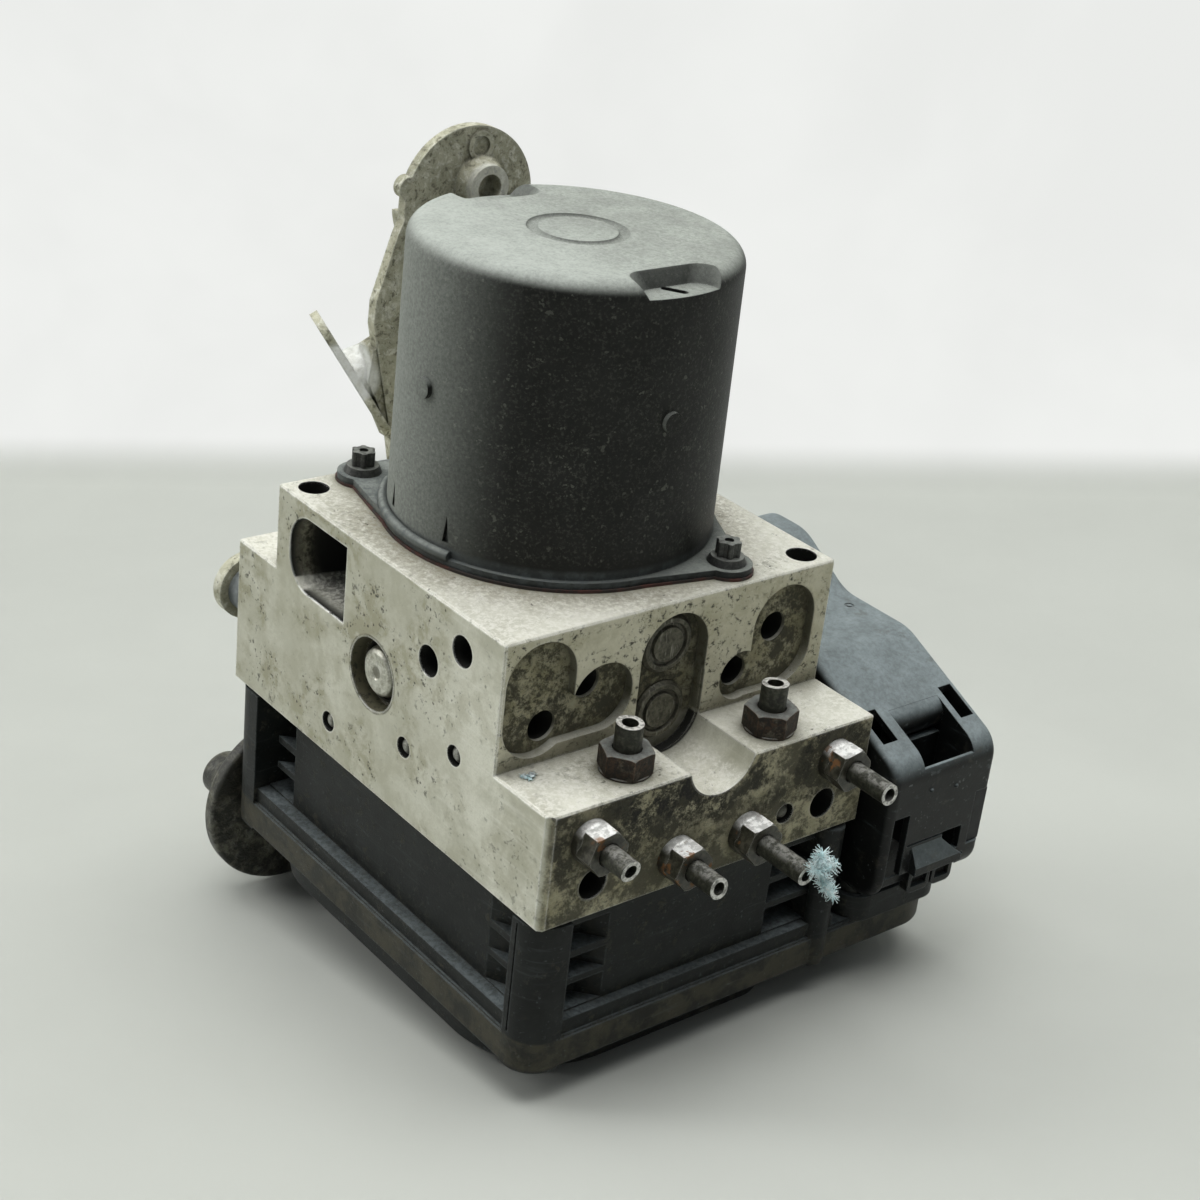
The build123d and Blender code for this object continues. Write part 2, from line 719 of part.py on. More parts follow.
# The cover's dished floor: a wide dish under the block and a second one under the plug.
def cover_dishes(inset):
    main = outline(
        (
            (4 + inset, -14.5 + inset),
            (88 - inset, -14.5 + inset),
            (88 - inset, 108 - inset),
            (4 + inset, 108 - inset),
        )
    )
    main = rounded(main, ((4, -14.5), (4, 108)), 26.0 - inset)
    main = rounded(main, ((88, -14.5), (88, 108)), 12.0 - inset)
    second = Pos(110.5, 51.0) * RectangleRounded(45.0 - 2 * inset, 108.0 - 2 * inset, 14.0 - inset)
    return main, second


def ecu_cover():
    cover = plate_z(rim_outline(unit_wall + 0.1), rim_bottom, rim_bottom + 2.0)
    for dish in cover_dishes(0):
        bowl = plate_z(dish, cover_bottom, rim_bottom + 1.0)
        cover += chamfer(bowl.faces().sort_by(Axis.Z)[0].edges(), 2.2)
    for hollow in cover_dishes(2.2):
        cover -= plate_z(hollow, cover_bottom + 2.2, rim_bottom + 3.0)
    return cover


# Plug --------------------------------------------------------------------------------------


def hood_profile():
    shape = outline(((-30, -22), (-30, 17.1), (6, 33.3), (30, 33.3), (48, 44), (66, 44), (66, -22)))
    shape = rounded(shape, ((-30, 17.1), (66, 44)), 8.0)
    shape = rounded(shape, ((6, 33.3), (48, 44)), 14.0)
    shape = rounded(shape, ((30, 33.3),), 14.0)
    return rounded(shape, ((-30, -22),), 7.0)


def finger_pocket():
    pocket = box(111.0, 113.1, -29.0, -14.9, -7.0, 23.0) + box(131.0, 132.8, -29.0, -14.9, -7.0, 23.0)
    pocket += box(111.0, 132.8, -17.0, -14.9, -7.0, 20.0)
    return pocket + box(111.0, 132.8, -29.0, -15.0, -7.0, -5.0)


def latch_tongue():
    ledge = outline(((-29.9, -7.4), (-32.6, -12.6), (-32.6, -15.0), (-28.2, -15.0), (-28.2, -7.4)))
    tongue = plate_x(ledge, 113.0, 130.0)
    for left, right in ((114.4, 122.4), (123.2, 130.6)):
        tab = Pos((left + right) / 2, -18.5) * RectangleRounded(right - left, 7.8, 1.8)
        tab = plate_y(tab, hood_front + 0.2, hood_front + 3.0)
        tongue += tab - box(left + 1.2, right - 1.2, hood_front - 1, hood_front + 1.6, -20.6, -17.6)
    return tongue


def plug_hood():
    outer = plate_x(hood_profile(), hood_left, hood_right)
    front_corners = [e for e in outer.edges().filter_by(Axis.Z) if e.center().Y < hood_front + 1]
    outer = fillet(front_corners, 2.0)
    inner = plate_x(offset(hood_profile(), -hood_wall), hood_left + hood_wall, hood_right - hood_wall)
    below = box(hood_left + hood_wall, hood_right - hood_wall, hood_front + hood_wall, hood_back - hood_wall, -30, -19)
    shell = outer - inner - below
    shell -= box(110.0, 133.5, hood_front - 1, hood_front + hood_wall + 0.1, -25, -15.0)
    roof = finger_pocket() & plate_x(hood_profile(), hood_left, hood_right)
    shell += roof
    shell -= box(113.1, 131.0, hood_front - 1, -14.0, 15.2, 40)
    shell -= box(113.1, 131.0, -28.5, -17.0, -5.0, 20.0)
    shell += bar_x(-11.95, 19.7, 4.98, 113.1, 131.0)
    shell -= box(104.6, 109.7, -21.8, -12.5, 10, 40)
    shell -= box(132.9, 137.4, -21.6, -12.2, 10, 40)
    shell -= Pos(132.7, 22.4, 33.5) * (Cylinder(1.3, 0.8) - Cylinder(0.7, 0.8))
    shell -= box(104.5, 110.0, hood_front - 1, hood_front + hood_wall + 0.1, -21.0, 3.0)
    shell -= box(134.2, hood_right + 1, hood_front - 1, hood_front + 5.0, -13.0, 3.0)
    shell -= box(111.0, 124.0, hood_front - 1, hood_front + 1.0, -6.8, -6.3)
    wedge = outline(((124.0, -6.2), (131.0, -6.2), (131.0, -13.0), (129.6, -13.0), (124.0, -8.0)))
    shell += latch_tongue()
    shell -= plate_y(wedge, hood_front - 4, hood_front + hood_wall + 0.1)
    gland = bar_y(121.0, 24.0, 9.0, hood_back - 1, hood_back + 8.0)
    shell += gland
    shell -= bar_y(121.0, 24.0, 7.2, hood_back - 4, hood_back + 9)
    for x, z in ((116.3, 8.6), (125.6, 7.3)):
        shell += Pos(x, hood_front, z) * Sphere(0.6)
    return shell


def plug_body():
    width, depth = header_right - header_left - 5.6, header_back - header_front - 5.6
    middle_x, middle_y = (header_left + header_right) / 2, (header_front + header_back) / 2
    core = Pos(middle_x, middle_y) * RectangleRounded(width, depth, 3.4)
    body = plate_z(core, -27.0, -7.4)
    crown = Pos(middle_x, (header_back - 14.0) / 2) * RectangleRounded(30.0, header_back + 10.0, 3.0)
    body += plate_z(crown, -7.6, 6.0)
    body += box(134.0, 137.1, -25.2, -10.0, -7.0, 2.6) + box(134.5, 139.2, -29.4, -25.2, -12.6, 2.6)
    body -= plate_z(core - offset(core, -1.6), -15.0, -12.0)
    body -= [box(x - 0.95, x + 0.95, y - 0.95, y + 0.95, -28, -15.5) for x, y in pin_places()]
    return body


def plug_seal():
    width, depth = header_right - header_left - 5.4, header_back - header_front - 5.4
    middle_x, middle_y = (header_left + header_right) / 2, (header_front + header_back) / 2
    core = Pos(middle_x, middle_y) * RectangleRounded(width, depth, 3.5)
    return plate_z(core - offset(core, -1.6), -14.8, -12.2)


# Bracket -----------------------------------------------------------------------------------


def bracket_arm():
    left = ((50.0, 130.0), (48.6, 122.5), (45.6, 115.3), (40.2, 98.3), (40.0, 92.0), (42.4, 81.0), (47.2, 60.0), (49.5, 48.0), (49.5, 30.0))
    right = ((60.0, 30.0), (58.0, 62.0), (54.0, 84.0), (52.6, 96.0), (54.0, 104.0), (60.0, 112.0))
    arm = plate_y(outline(left + right), sheet[0], sheet[1])
    spine = ((54.0, 118.0), (45.6, 95.0), (47.0, 80.0), (52.0, 60.0), (53.0, 30.0), (57.0, 30.0), (56.0, 61.0), (51.0, 81.0), (49.6, 95.0), (58.0, 118.0))
    return arm + plate_y(outline(spine), sheet[1] - 0.2, sheet[1] + 5.0)


def top_ear_plate():
    x, z = top_ear
    hole_x, hole_z = top_hole
    ear = plate_y(Pos(x, z) * Circle(top_ear_radius), sheet[0], sheet[1])
    ear += bar_y(48.4, 127.9, 3.0, sheet[0], sheet[1])
    rib = Pos(x, z) * (Circle(top_ear_radius) - Circle(top_ear_radius - 2.4)) & Pos(x + 4, z - 22) * Rectangle(50, 40)
    ear += plate_y(rib, sheet[1] - 0.2, sheet[1] + 3.0)
    ear += Pos(hole_x, 116.7, hole_z) * Rot(90, 0, 0) * Cone(7.8, 6.0, 3.4)
    ear += bar_y(hole_x, hole_z, 6.0, 113.2, 127.5)
    ear += bar_y(69.6, 137.5, 4.0, sheet[0] - 0.6, sheet[0] + 1) - bar_y(69.6, 137.5, 2.6, 110, sheet[0])
    return ear - bar_y(hole_x, hole_z, top_hole_radius, 110, 130)


# The thin web that leans out to the left from the arm, with a boss and a gusset on its inner side.
def leaning_web():
    root = Vector(47.0, 119.5, 61.0)
    along = Vector(-13.9, 16.5, 28.8).normalized()
    across = Vector(0.524, 0.763, -0.376)
    face = along.cross(across).normalized()
    length = 36.0
    place = Plane(root + along * (length / 2), x_dir=along, z_dir=face)
    web = extrude(place * RectangleRounded(length + 2, 16.0, 7.0), 1.15, both=True)
    boss_place = Plane(root + along * (length * 0.47), x_dir=along, z_dir=face * -1)
    web += boss_place * Pos(0, 0, 5.5) * Cone(7.8, 6.2, 9.0)
    gusset = outline(((48.5, 58.0), (39.5, 76.5), (40.5, 85.0), (47.0, 88.0), (52.0, 62.0)))
    return web + plate_y(gusset, sheet[0] + 0.4, sheet[1] + 4.0)


def lower_ear(x, z):
    disc = bar_y(x, z, lower_ear_radius, 116.6, 120.6)
    disc = fillet(disc.edges().filter_by(GeomType.CIRCLE), 0.9)
    side = -1 if x < block_width / 2 else 1
    knob = bar_y(x + side * 16.2, z + 7.5, 6.5, 120.0, 127.0)
    boss = Pos(x, 126.8, z) * Rot(-90, 0, 0) * Cone(12.5, 9.5, 13.0)
    rib = box(x - 2.0, x + 2.0, 120.0, 130.0, z, z + 24.0)
    return disc + boss + rib + knob


# A leg with its ear, from the cross plate's lower edge down.
def bracket_foot(x, z):
    front, back = back_plate
    foot = lower_ear(x, z) + box(x - 7.0, x + 7.0, front - 1.0, back, z, plate_bottom)
    return foot - bar_y(x, z, 4.2, 110, 140)


def bracket():
    front, back = back_plate
    plate = box(7.3, 92.7, front, back, plate_bottom, 29.9)
    for x, z in pad_places:
        plate += bar_y(x, z, 9.0, front, back)
    plate += box(49.5, 60.0, sheet[0], back, 20.0, 40.0)
    plate += bracket_arm() + top_ear_plate() + leaning_web()
    for x, z in pad_places:
        plate -= bar_y(x, z, 4.2, front - 1, back + 1)
    return plate


def bracket_spacers():
    sleeves = [bar_y(x, z, 6.5, block_back, back_plate[0]) - bar_y(x, z, 4.2, 100, 130) for x, z in pad_places]
    return Compound(children=sleeves)


# Round-headed screws with a socket, seated on the bracket's back.
def bracket_bolts():
    bolts = []
    for x, z in pad_places:
        seat = back_plate[1]
        head = Pos(x, seat + 1.2, z) * Rot(-90, 0, 0) * Cone(5.6, 4.2, 2.4)
        socket = plate_y(Pos(x, z) * RegularPolygon(2.2, 6), seat + 0.8, seat + 4.0)
        bolts.append(bar_y(x, z, 3.9, seat - 24.0, seat) + head - socket)
    return Compound(children=bolts)


# Scraps of cleaning cloth ------------------------------------------------------------------


def rag_tuft():
    clump = Pos(62.6, -46.3, 12.0) * scale(Sphere(1), (5.2, 2.8, 5.8))
    return clump + Pos(67.6, -46.0, 4.4) * Rot(0, 35, 0) * scale(Sphere(1), (2.4, 2.2, 7.0))


def rag_scrap():
    return Pos(6.9, -4.3, front_ledge_top + 0.3) * Rot(0, 0, 25) * Box(3.6, 2.2, 0.5)


def main():
    save("hydraulic_block", hydraulic_block())
    save("sealing_balls", sealing_balls())
    save("motor_gasket", motor_gasket())
    save("motor_can", motor_can())
    save("motor_bolts", motor_bolts())
    save("field_magnets", field_magnets())
    save("brush_plate", brush_plate())
    save("can_bearing", can_bearing())
    save("block_bearing", block_bearing())
    save("motor_feed_pin", motor_feed_pin())
    save("rotor_shaft", rotor_shaft())
    save("eccentric_bearing", eccentric_bearing())
    save("armature", armature())
    save("armature_windings", armature_windings())
    save("commutator", commutator())
    for name, side in (("left", -1), ("right", 1)):
        save(f"pump_piston_{name}", pump_piston(side))
        save(f"pump_spring_{name}", pump_spring(side))
        save(f"pump_plug_{name}", pump_plug(side))
    for name, z in zip(("upper", "lower"), accumulator_heights):
        piston, coil, cap = accumulator_parts(z)
        save(f"accumulator_piston_{name}", piston)
        save(f"accumulator_spring_{name}", coil)
        save(f"accumulator_cap_{name}", cap)
    save("inlet_valves", valve_group(valve_columns, valve_rows[:1]))
    save("outlet_valves", valve_group(valve_columns, valve_rows[1:2]))
    save("switching_valves", valve_group(valve_columns, valve_rows[2:]))
    save("pressure_sensor", pressure_sensor())
    save("valve_coils", valve_coils())
    save("front_tube_nuts", front_tube_nuts())
    save("top_tube_nuts", top_tube_nuts())
    save("front_pipe_stubs", front_pipe_stubs())
    save("top_pipe_stubs", top_pipe_stubs())
    save("ecu_housing", ecu_housing())
    save("connector_pins", connector_pins())
    save("ecu_gasket", ecu_gasket())
    save("circuit_board", circuit_board())
    save("ecu_cover", ecu_cover())
    save("plug_hood", plug_hood())
    save("plug_body", plug_body())
    save("plug_seal", plug_seal())
    save("bracket", bracket())
    for side, (x, z) in zip(("left", "right"), lower_ear_places):
        save("bracket_foot_" + side, bracket_foot(x, z))
    save("bracket_spacers", bracket_spacers())
    save("bracket_bolts", bracket_bolts())
    save("rag_tuft", rag_tuft())
    save("rag_scrap", rag_scrap())


main()
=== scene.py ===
import math

import bmesh
import bpy
from mathutils import Matrix, Vector


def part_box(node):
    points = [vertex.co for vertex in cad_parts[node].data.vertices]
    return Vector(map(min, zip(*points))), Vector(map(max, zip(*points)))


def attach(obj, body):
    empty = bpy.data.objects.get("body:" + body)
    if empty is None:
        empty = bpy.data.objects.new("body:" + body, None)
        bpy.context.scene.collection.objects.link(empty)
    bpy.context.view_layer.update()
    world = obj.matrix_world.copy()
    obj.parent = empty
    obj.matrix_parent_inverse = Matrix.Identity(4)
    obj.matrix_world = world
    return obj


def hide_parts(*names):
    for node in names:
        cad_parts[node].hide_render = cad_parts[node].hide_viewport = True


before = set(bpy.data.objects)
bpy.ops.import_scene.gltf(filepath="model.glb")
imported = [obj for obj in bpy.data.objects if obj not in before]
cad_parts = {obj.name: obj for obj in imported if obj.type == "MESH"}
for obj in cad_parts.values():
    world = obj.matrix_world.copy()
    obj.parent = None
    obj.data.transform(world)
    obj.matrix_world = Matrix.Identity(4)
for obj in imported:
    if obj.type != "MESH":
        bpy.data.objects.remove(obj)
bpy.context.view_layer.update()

# Places are written in millimetres in the block frame, which has its zero at the block's lower
# left front. The frame's own zero is the mouth of the front locating hole.
holeMouth = Vector((94.1, 6.1, 63.3))
pumpAxis = (None, 51, 31.5)


def metres(x, y, z):
    return (Vector((x, y, z)) - holeMouth) * 0.001


class Finish:
    # A Principled material whose pattern sizes are millimetres in the block frame.
    def __init__(self, name, **constants):
        self.material = bpy.data.materials.new(name)
        self.material.use_nodes = True
        self.tree = self.material.node_tree
        self.tree.nodes.clear()
        output = self.add("ShaderNodeOutputMaterial")
        self.shader = self.add("ShaderNodeBsdfPrincipled")
        self.tree.links.new(self.shader.outputs[0], output.inputs[0])
        for socket, value in constants.items():
            self.set(socket.replace("_", " "), value)
        scale = self.add("ShaderNodeVectorMath", operation="MULTIPLY_ADD")
        self.join(self.add("ShaderNodeTexCoord").outputs["Object"], scale.inputs[0])
        scale.inputs[1].default_value = (1000, 1000, 1000)
        scale.inputs[2].default_value = holeMouth
        self.place = scale.outputs[0]
        self.x, self.y, self.z = self.split(self.place)
        self.normal = self.add("ShaderNodeNewGeometry").outputs["Normal"]
        self.facing = self.split(self.normal)

    def add(self, kind, **settings):
        node = self.tree.nodes.new(kind)
        for key, value in settings.items():
            setattr(node, key, value)
        return node

    def join(self, value, socket):
        if isinstance(value, bpy.types.NodeSocket):
            self.tree.links.new(value, socket)
        elif isinstance(value, (tuple, list)) and socket.type == "RGBA":
            socket.default_value = (*value[:3], 1)
        else:
            socket.default_value = value

    def set(self, socket, value):
        self.join(value, self.shader.inputs[socket])

    def split(self, vector):
        node = self.add("ShaderNodeSeparateXYZ")
        self.join(vector, node.inputs[0])
        return node.outputs[0], node.outputs[1], node.outputs[2]

    def calc(self, operation, a, b=0.0, clamp=False):
        node = self.add("ShaderNodeMath", operation=operation, use_clamp=clamp)
        self.join(a, node.inputs[0])
        self.join(b, node.inputs[1])
        return node.outputs[0]

    def product(self, *values):
        total = values[0]
        for value in values[1:]:
            total = self.calc("MULTIPLY", total, value)
        return total

    def either(self, *values):
        total = values[0]
        for value in values[1:]:
            total = self.calc("MAXIMUM", total, value)
        return total

    def inverse(self, value):
        return self.calc("SUBTRACT", 1.0, value, clamp=True)

    # Runs smoothly from 0 at low to 1 at high, or the other way where low is the larger.
    def rise(self, value, low, high):
        node = self.add("ShaderNodeMapRange", interpolation_type="SMOOTHSTEP")
        self.join(value, node.inputs[0])
        node.inputs[1].default_value = low
        node.inputs[2].default_value = high
        return node.outputs[0]

    # 1 where value is centre, fading to 0 at reach on either side.
    def near(self, value, centre, reach):
        offset = self.calc("ABSOLUTE", self.calc("SUBTRACT", value, centre))
        return self.rise(offset, reach, reach * 0.6)

    # 1 between low and high, fading out over soft at both ends.
    def within(self, value, low, high, soft=0.4):
        return self.product(self.rise(value, low - soft, low), self.rise(value, high + soft, high))

    # Distance from a point, or from an axis where one of its coordinates is None.
    def away(self, *point):
        squares = []
        for value, centre in zip((self.x, self.y, self.z), point):
            if centre is not None:
                offset = self.calc("SUBTRACT", value, centre)
                squares.append(self.product(offset, offset))
        total = squares[0]
        for square in squares[1:]:
            total = self.calc("ADD", total, square)
        return self.calc("SQRT", total)

    def stretched(self, stretch):
        node = self.add("ShaderNodeVectorMath", operation="MULTIPLY")
        self.join(self.place, node.inputs[0])
        node.inputs[1].default_value = stretch
        return node.outputs[0]

    def noise(self, size, detail=3.0, rough=0.55, stretch=None, warp=0.0, shift=0.0):
        node = self.add("ShaderNodeTexNoise", noise_dimensions="4D")
        self.join(self.stretched(stretch) if stretch else self.place, node.inputs["Vector"])
        node.inputs["Scale"].default_value = 1.0 / size
        node.inputs["Detail"].default_value = detail
        node.inputs["Roughness"].default_value = rough
        node.inputs["Distortion"].default_value = warp
        node.inputs["W"].default_value = shift
        return node.outputs[0]

    # Ragged patches: a noise cut off softly between low and high.
    def blot(self, size, low, high, detail=5.0, rough=0.7, stretch=None, warp=0.3, shift=0.0):
        return self.rise(self.noise(size, detail, rough, stretch, warp, shift), low, high)

    def cells(self, size, feature="F1", stretch=None):
        node = self.add("ShaderNodeTexVoronoi", feature=feature)
        self.join(self.stretched(stretch) if stretch else self.place, node.inputs["Vector"])
        node.inputs["Scale"].default_value = 1.0 / size
        return node.outputs["Distance"]

    # 1 in the open, less in hollows and beside neighbours, felt for over reach millimetres.
    def openness(self, reach):
        node = self.add("ShaderNodeAmbientOcclusion", samples=2)
        node.inputs["Distance"].default_value = reach * 0.001
        return node.outputs["AO"]

    # The normal with its sharp corners rounded off over radius millimetres.
    def rounded(self, radius):
        node = self.add("ShaderNodeBevel", samples=2)
        node.inputs["Radius"].default_value = radius * 0.001
        return node.outputs[0]

    # 1 along sharp corners, where the rounded normal leaves the true one.
    def corners(self, rounded):
        node = self.add("ShaderNodeVectorMath", operation="DOT_PRODUCT")
        self.join(rounded, node.inputs[0])
        self.join(self.normal, node.inputs[1])
        return self.rise(node.outputs["Value"], 0.995, 0.90)

    def blend(self, amount, under, over):
        node = self.add("ShaderNodeMix", data_type="RGBA")
        self.join(amount, node.inputs[0])
        self.join(under, node.inputs[6])
        self.join(over, node.inputs[7])
        return node.outputs[2]

    def mix(self, amount, low, high):
        node = self.add("ShaderNodeMix", data_type="FLOAT")
        self.join(amount, node.inputs[0])
        self.join(low, node.inputs[2])
        self.join(high, node.inputs[3])
        return node.outputs[0]

    # Depth is how far the height of 1 stands out, in millimetres.
    def bump(self, height, depth, under=None):
        node = self.add("ShaderNodeBump")
        self.join(height, node.inputs["Height"])
        node.inputs["Distance"].default_value = depth * 0.001
        node.inputs["Strength"].default_value = 1.0
        if under is not None:
            self.join(under, node.inputs["Normal"])
        self.set("Normal", node.outputs[0])

    def finish(self, colour, roughness):
        self.set("Base Color", colour)
        self.set("Roughness", roughness)
        return self.material


blockLook = {
    "clean": (0.74, 0.735, 0.635),
    "dull": (0.47, 0.465, 0.37),
    "edge": (0.97, 0.97, 0.94),
    "olive": (0.27, 0.25, 0.145),
    "straw": (0.50, 0.46, 0.31),
    "grimeAndShade": (0.046, 0.043, 0.027),
    "black": (0.008, 0.008, 0.006),
    "grit": (0.82, 0.81, 0.74),
    "sand": (0.30, 0.275, 0.205),
}


# The block's outer faces along X, Y and Z, each with the depth over which it counts as outer.
blockFaces = (
    ((0, 1.2), (100, 1.2)),
    ((-21.2, 3.4), (0, 4.6), (96.7, 1.2), (114.9, 1.2)),
    ((0, 1.2), (30.2, 1.2), (40.5, 1.2), (63.3, 1.2)),
)


def machinedBlock():
    look = blockLook
    f = Finish("machinedBlock", IOR=1.5)
    nx, ny, nz = f.facing
    left, front, top = f.rise(nx, -0.6, -0.8), f.rise(ny, -0.6, -0.8), f.rise(nz, 0.5, 0.8)
    soft = f.rounded(0.85)
    reach = f.openness(8.0)
    # The outer faces, as against the walls of holes and pockets.
    flat = []
    for facing, place, faces in zip(f.facing, (f.x, f.y, f.z), blockFaces):
        on = f.either(*[f.near(place, face, depth) for face, depth in faces])
        flat.append(f.product(f.rise(f.calc("ABSOLUTE", facing), 0.4, 0.6), on))
    channel = f.product(f.within(f.x, 39, 62), f.rise(f.y, 0.6, 0.0), f.rise(f.z, 20.5, 21.5))
    shallow = f.product(f.rise(f.z, 30.0, 30.8), f.within(f.y, -0.5, 3.4, 0.3))
    inside = f.inverse(f.either(*flat, channel, shallow))
    # Raw metal: clouds of tone, fine grain and faint cutter marks.
    grain = f.noise(0.6, 4, 0.75)
    cutter = f.noise(0.9, 3, 0.6, stretch=(1.0, 0.05, 1.0), shift=4.0)
    colour = f.blend(f.blot(24, 0.42, 0.66, shift=1.3), look["clean"], look["dull"])
    colour = f.blend(f.product(f.rise(grain, 0.42, 0.70), 0.45), colour, look["dull"])
    colour = f.blend(f.product(f.rise(cutter, 0.5, 0.7), 0.15), colour, look["edge"])
    backwards = f.product(left, f.rise(f.y, -5, 50), f.mix(f.blot(13, 0.3, 0.6, shift=7.5), 0.45, 0.95))
    colour = f.blend(backwards, colour, look["dull"])
    # Soil collects in clouds, and inside them in ragged freckles of three sizes.
    cloud = f.blot(17, 0.42, 0.56, 3, 0.55, shift=2.0)
    ragged = f.product(f.noise(0.8, 3, 0.6, shift=3.0), 0.6)
    pits = f.rise(f.calc("ADD", f.cells(1.9), ragged), 0.50, 0.40)
    freckles = f.either(
        f.product(pits, f.blot(4.5, 0.46, 0.54, shift=5.5), f.mix(cloud, 0.18, 1.0)),
        f.product(f.blot(2.6, 0.585, 0.63, 5, 0.75, warp=0.0, shift=5.0), f.mix(cloud, 0.06, 0.95)),
        f.product(f.blot(5.2, 0.595, 0.64, 6, 0.78, warp=0.0, shift=8.0), cloud),
    )
    stains = f.product(f.mix(cloud, 0.35, 1.0), f.blot(6.5, 0.42, 0.60, shift=9.5), 0.8)
    onLeft = f.product(left, f.mix(f.rise(f.y, 5, 35), 0.45, 1.0))
    shown = f.either(onLeft, f.product(f.inverse(f.either(left, top)), 0.7), 0.30)
    colour = f.blend(f.product(stains, shown, 0.8), colour, look["olive"])
    colour = f.blend(f.product(freckles, shown, 0.85), colour, look["grimeAndShade"])
    # The upper front is smeared straw and olive, and its cast recesses are baked over.
    film = f.blot(10, 0.42, 0.62, 7, 0.80, warp=0.1, shift=3.0)
    fleck = f.blot(2.0, 0.52, 0.60, 5, 0.80, warp=0.0, shift=6.0)
    clots = f.blot(5.5, 0.445, 0.545, 8, 0.82, warp=0.1, shift=2.7)
    upper = f.product(front, f.rise(f.z, 29.0, 31.5))
    sunk = f.product(f.within(f.y, 2.0, 4.2, 0.6), upper)
    colour = f.blend(f.product(upper, 0.55), colour, look["straw"])
    colour = f.blend(f.product(upper, film, 0.35), colour, look["olive"])
    colour = f.blend(f.product(upper, fleck, f.blot(13, 0.43, 0.51, shift=4.4)), colour, look["grimeAndShade"])
    colour = f.blend(f.product(sunk, f.mix(film, 0.55, 0.95)), colour, look["olive"])
    colour = f.blend(f.product(sunk, f.either(clots, f.product(fleck, 0.7)), 0.96), colour, look["grimeAndShade"])
    # The recesses' side walls are painted dark: painted shade, flecked with dirt.
    recessWallShade = f.product(f.rise(f.z, 30.5, 31.5), f.within(f.y, 0.4, 3.6), f.within(f.x, 1.5, 98.5))
    sideways = f.product(f.rise(f.calc("ABSOLUTE", ny), 0.7, 0.5), f.rise(nz, 0.5, 0.0))
    recessWallShade = f.product(recessWallShade, sideways, f.mix(fleck, 0.70, 1.0))
    colour = f.blend(recessWallShade, colour, look["grimeAndShade"])
    foot = f.product(front, f.within(f.y, -0.6, 1.0), f.within(f.z, 29.8, 33.0, 1.5))
    colour = f.blend(f.product(foot, f.mix(fleck, 0.25, 1.0), 0.8), colour, look["grimeAndShade"])
    # The ledge's face is dirtier still, worst under its top edge.
    ledge = f.product(front, f.rise(f.y, -19.6, -20.8))
    colour = f.blend(f.product(ledge, 0.8), colour, look["straw"])
    colour = f.blend(f.product(ledge, f.mix(film, 0.45, 1.0), 0.85), colour, look["olive"])
    strip = f.product(f.rise(f.z, 9.0, 25.0), f.blot(17, 0.38, 0.50, 3, 0.5, shift=12.0))
    mottle = f.either(f.blot(8, 0.44, 0.56, 8, 0.80, warp=0.1, shift=1.9), f.product(fleck, 0.8))
    soot = f.product(strip, f.either(mottle, clots))
    soot = f.product(ledge, f.calc("ADD", f.product(mottle, 0.85), soot, clamp=True))
    colour = f.blend(soot, colour, look["grimeAndShade"])
    tar = f.product(ledge, strip, f.blot(3.4, 0.48, 0.56, 5, 0.8, shift=8.8))
    colour = f.blend(f.product(tar, 0.9), colour, look["black"])
    # Hollows are darkened with dirt and painted shade; the side pocket darkens inward as painted shade,
    # thinning to gritty dirt at its mouth.
    colour = f.blend(f.product(f.rise(reach, 0.90, 0.60), f.mix(fleck, 0.30, 0.8)), colour, look["olive"])
    colour = f.blend(f.product(f.rise(reach, 0.66, 0.42), 0.8), colour, look["grimeAndShade"])
    pocket = f.product(f.within(f.y, 63.5, 91.0), f.within(f.z, 38.5, 60.0), f.rise(f.x, 0.4, 5.5))
    gritty = f.product(f.rise(f.noise(1.3, 3, 0.7, shift=6.6), 0.40, 0.62), f.rise(f.x, 9.0, 1.0))
    colour = f.blend(f.product(pocket, f.inverse(gritty)), colour, look["grimeAndShade"])
    # The walls of holes and pockets are painted black: painted shade.
    unlit = f.product(inside, f.inverse(f.product(pocket, f.rise(f.x, 9.0, 3.0))))
    colour = f.blend(unlit, colour, look["black"])
    bore = f.product(f.rise(f.away(*pumpAxis), 10.2, 9.7), f.rise(f.x, 10.0, 4.0))
    bore = f.product(bore, f.mix(fleck, 0.34, 0.12))
    colour = f.blend(bore, colour, look["olive"])
    mouth = f.product(left, f.within(f.away(*pumpAxis), 9.0, 9.9), f.blot(3, 0.35, 0.55, shift=6.6))
    colour = f.blend(f.product(mouth, 0.7), colour, look["grimeAndShade"])
    # Outer edges are rubbed bright, with chips.
    rim = f.product(f.within(f.y, -0.5, 6.0), f.within(f.z, 31.5, 60.5, 1.0), f.within(f.x, 2.0, 98.0, 1.0))
    edge = f.product(f.corners(soft), f.rise(reach, 0.66, 0.80), f.inverse(rim))
    worn = f.product(edge, f.mix(ledge, f.blot(2.6, 0.30, 0.44, shift=11.0), 0.45))
    colour = f.blend(worn, colour, look["edge"])
    colour = f.blend(f.product(edge, f.blot(2.0, 0.58, 0.62, 4, 0.7, shift=13.0), 0.9), colour, look["grimeAndShade"])
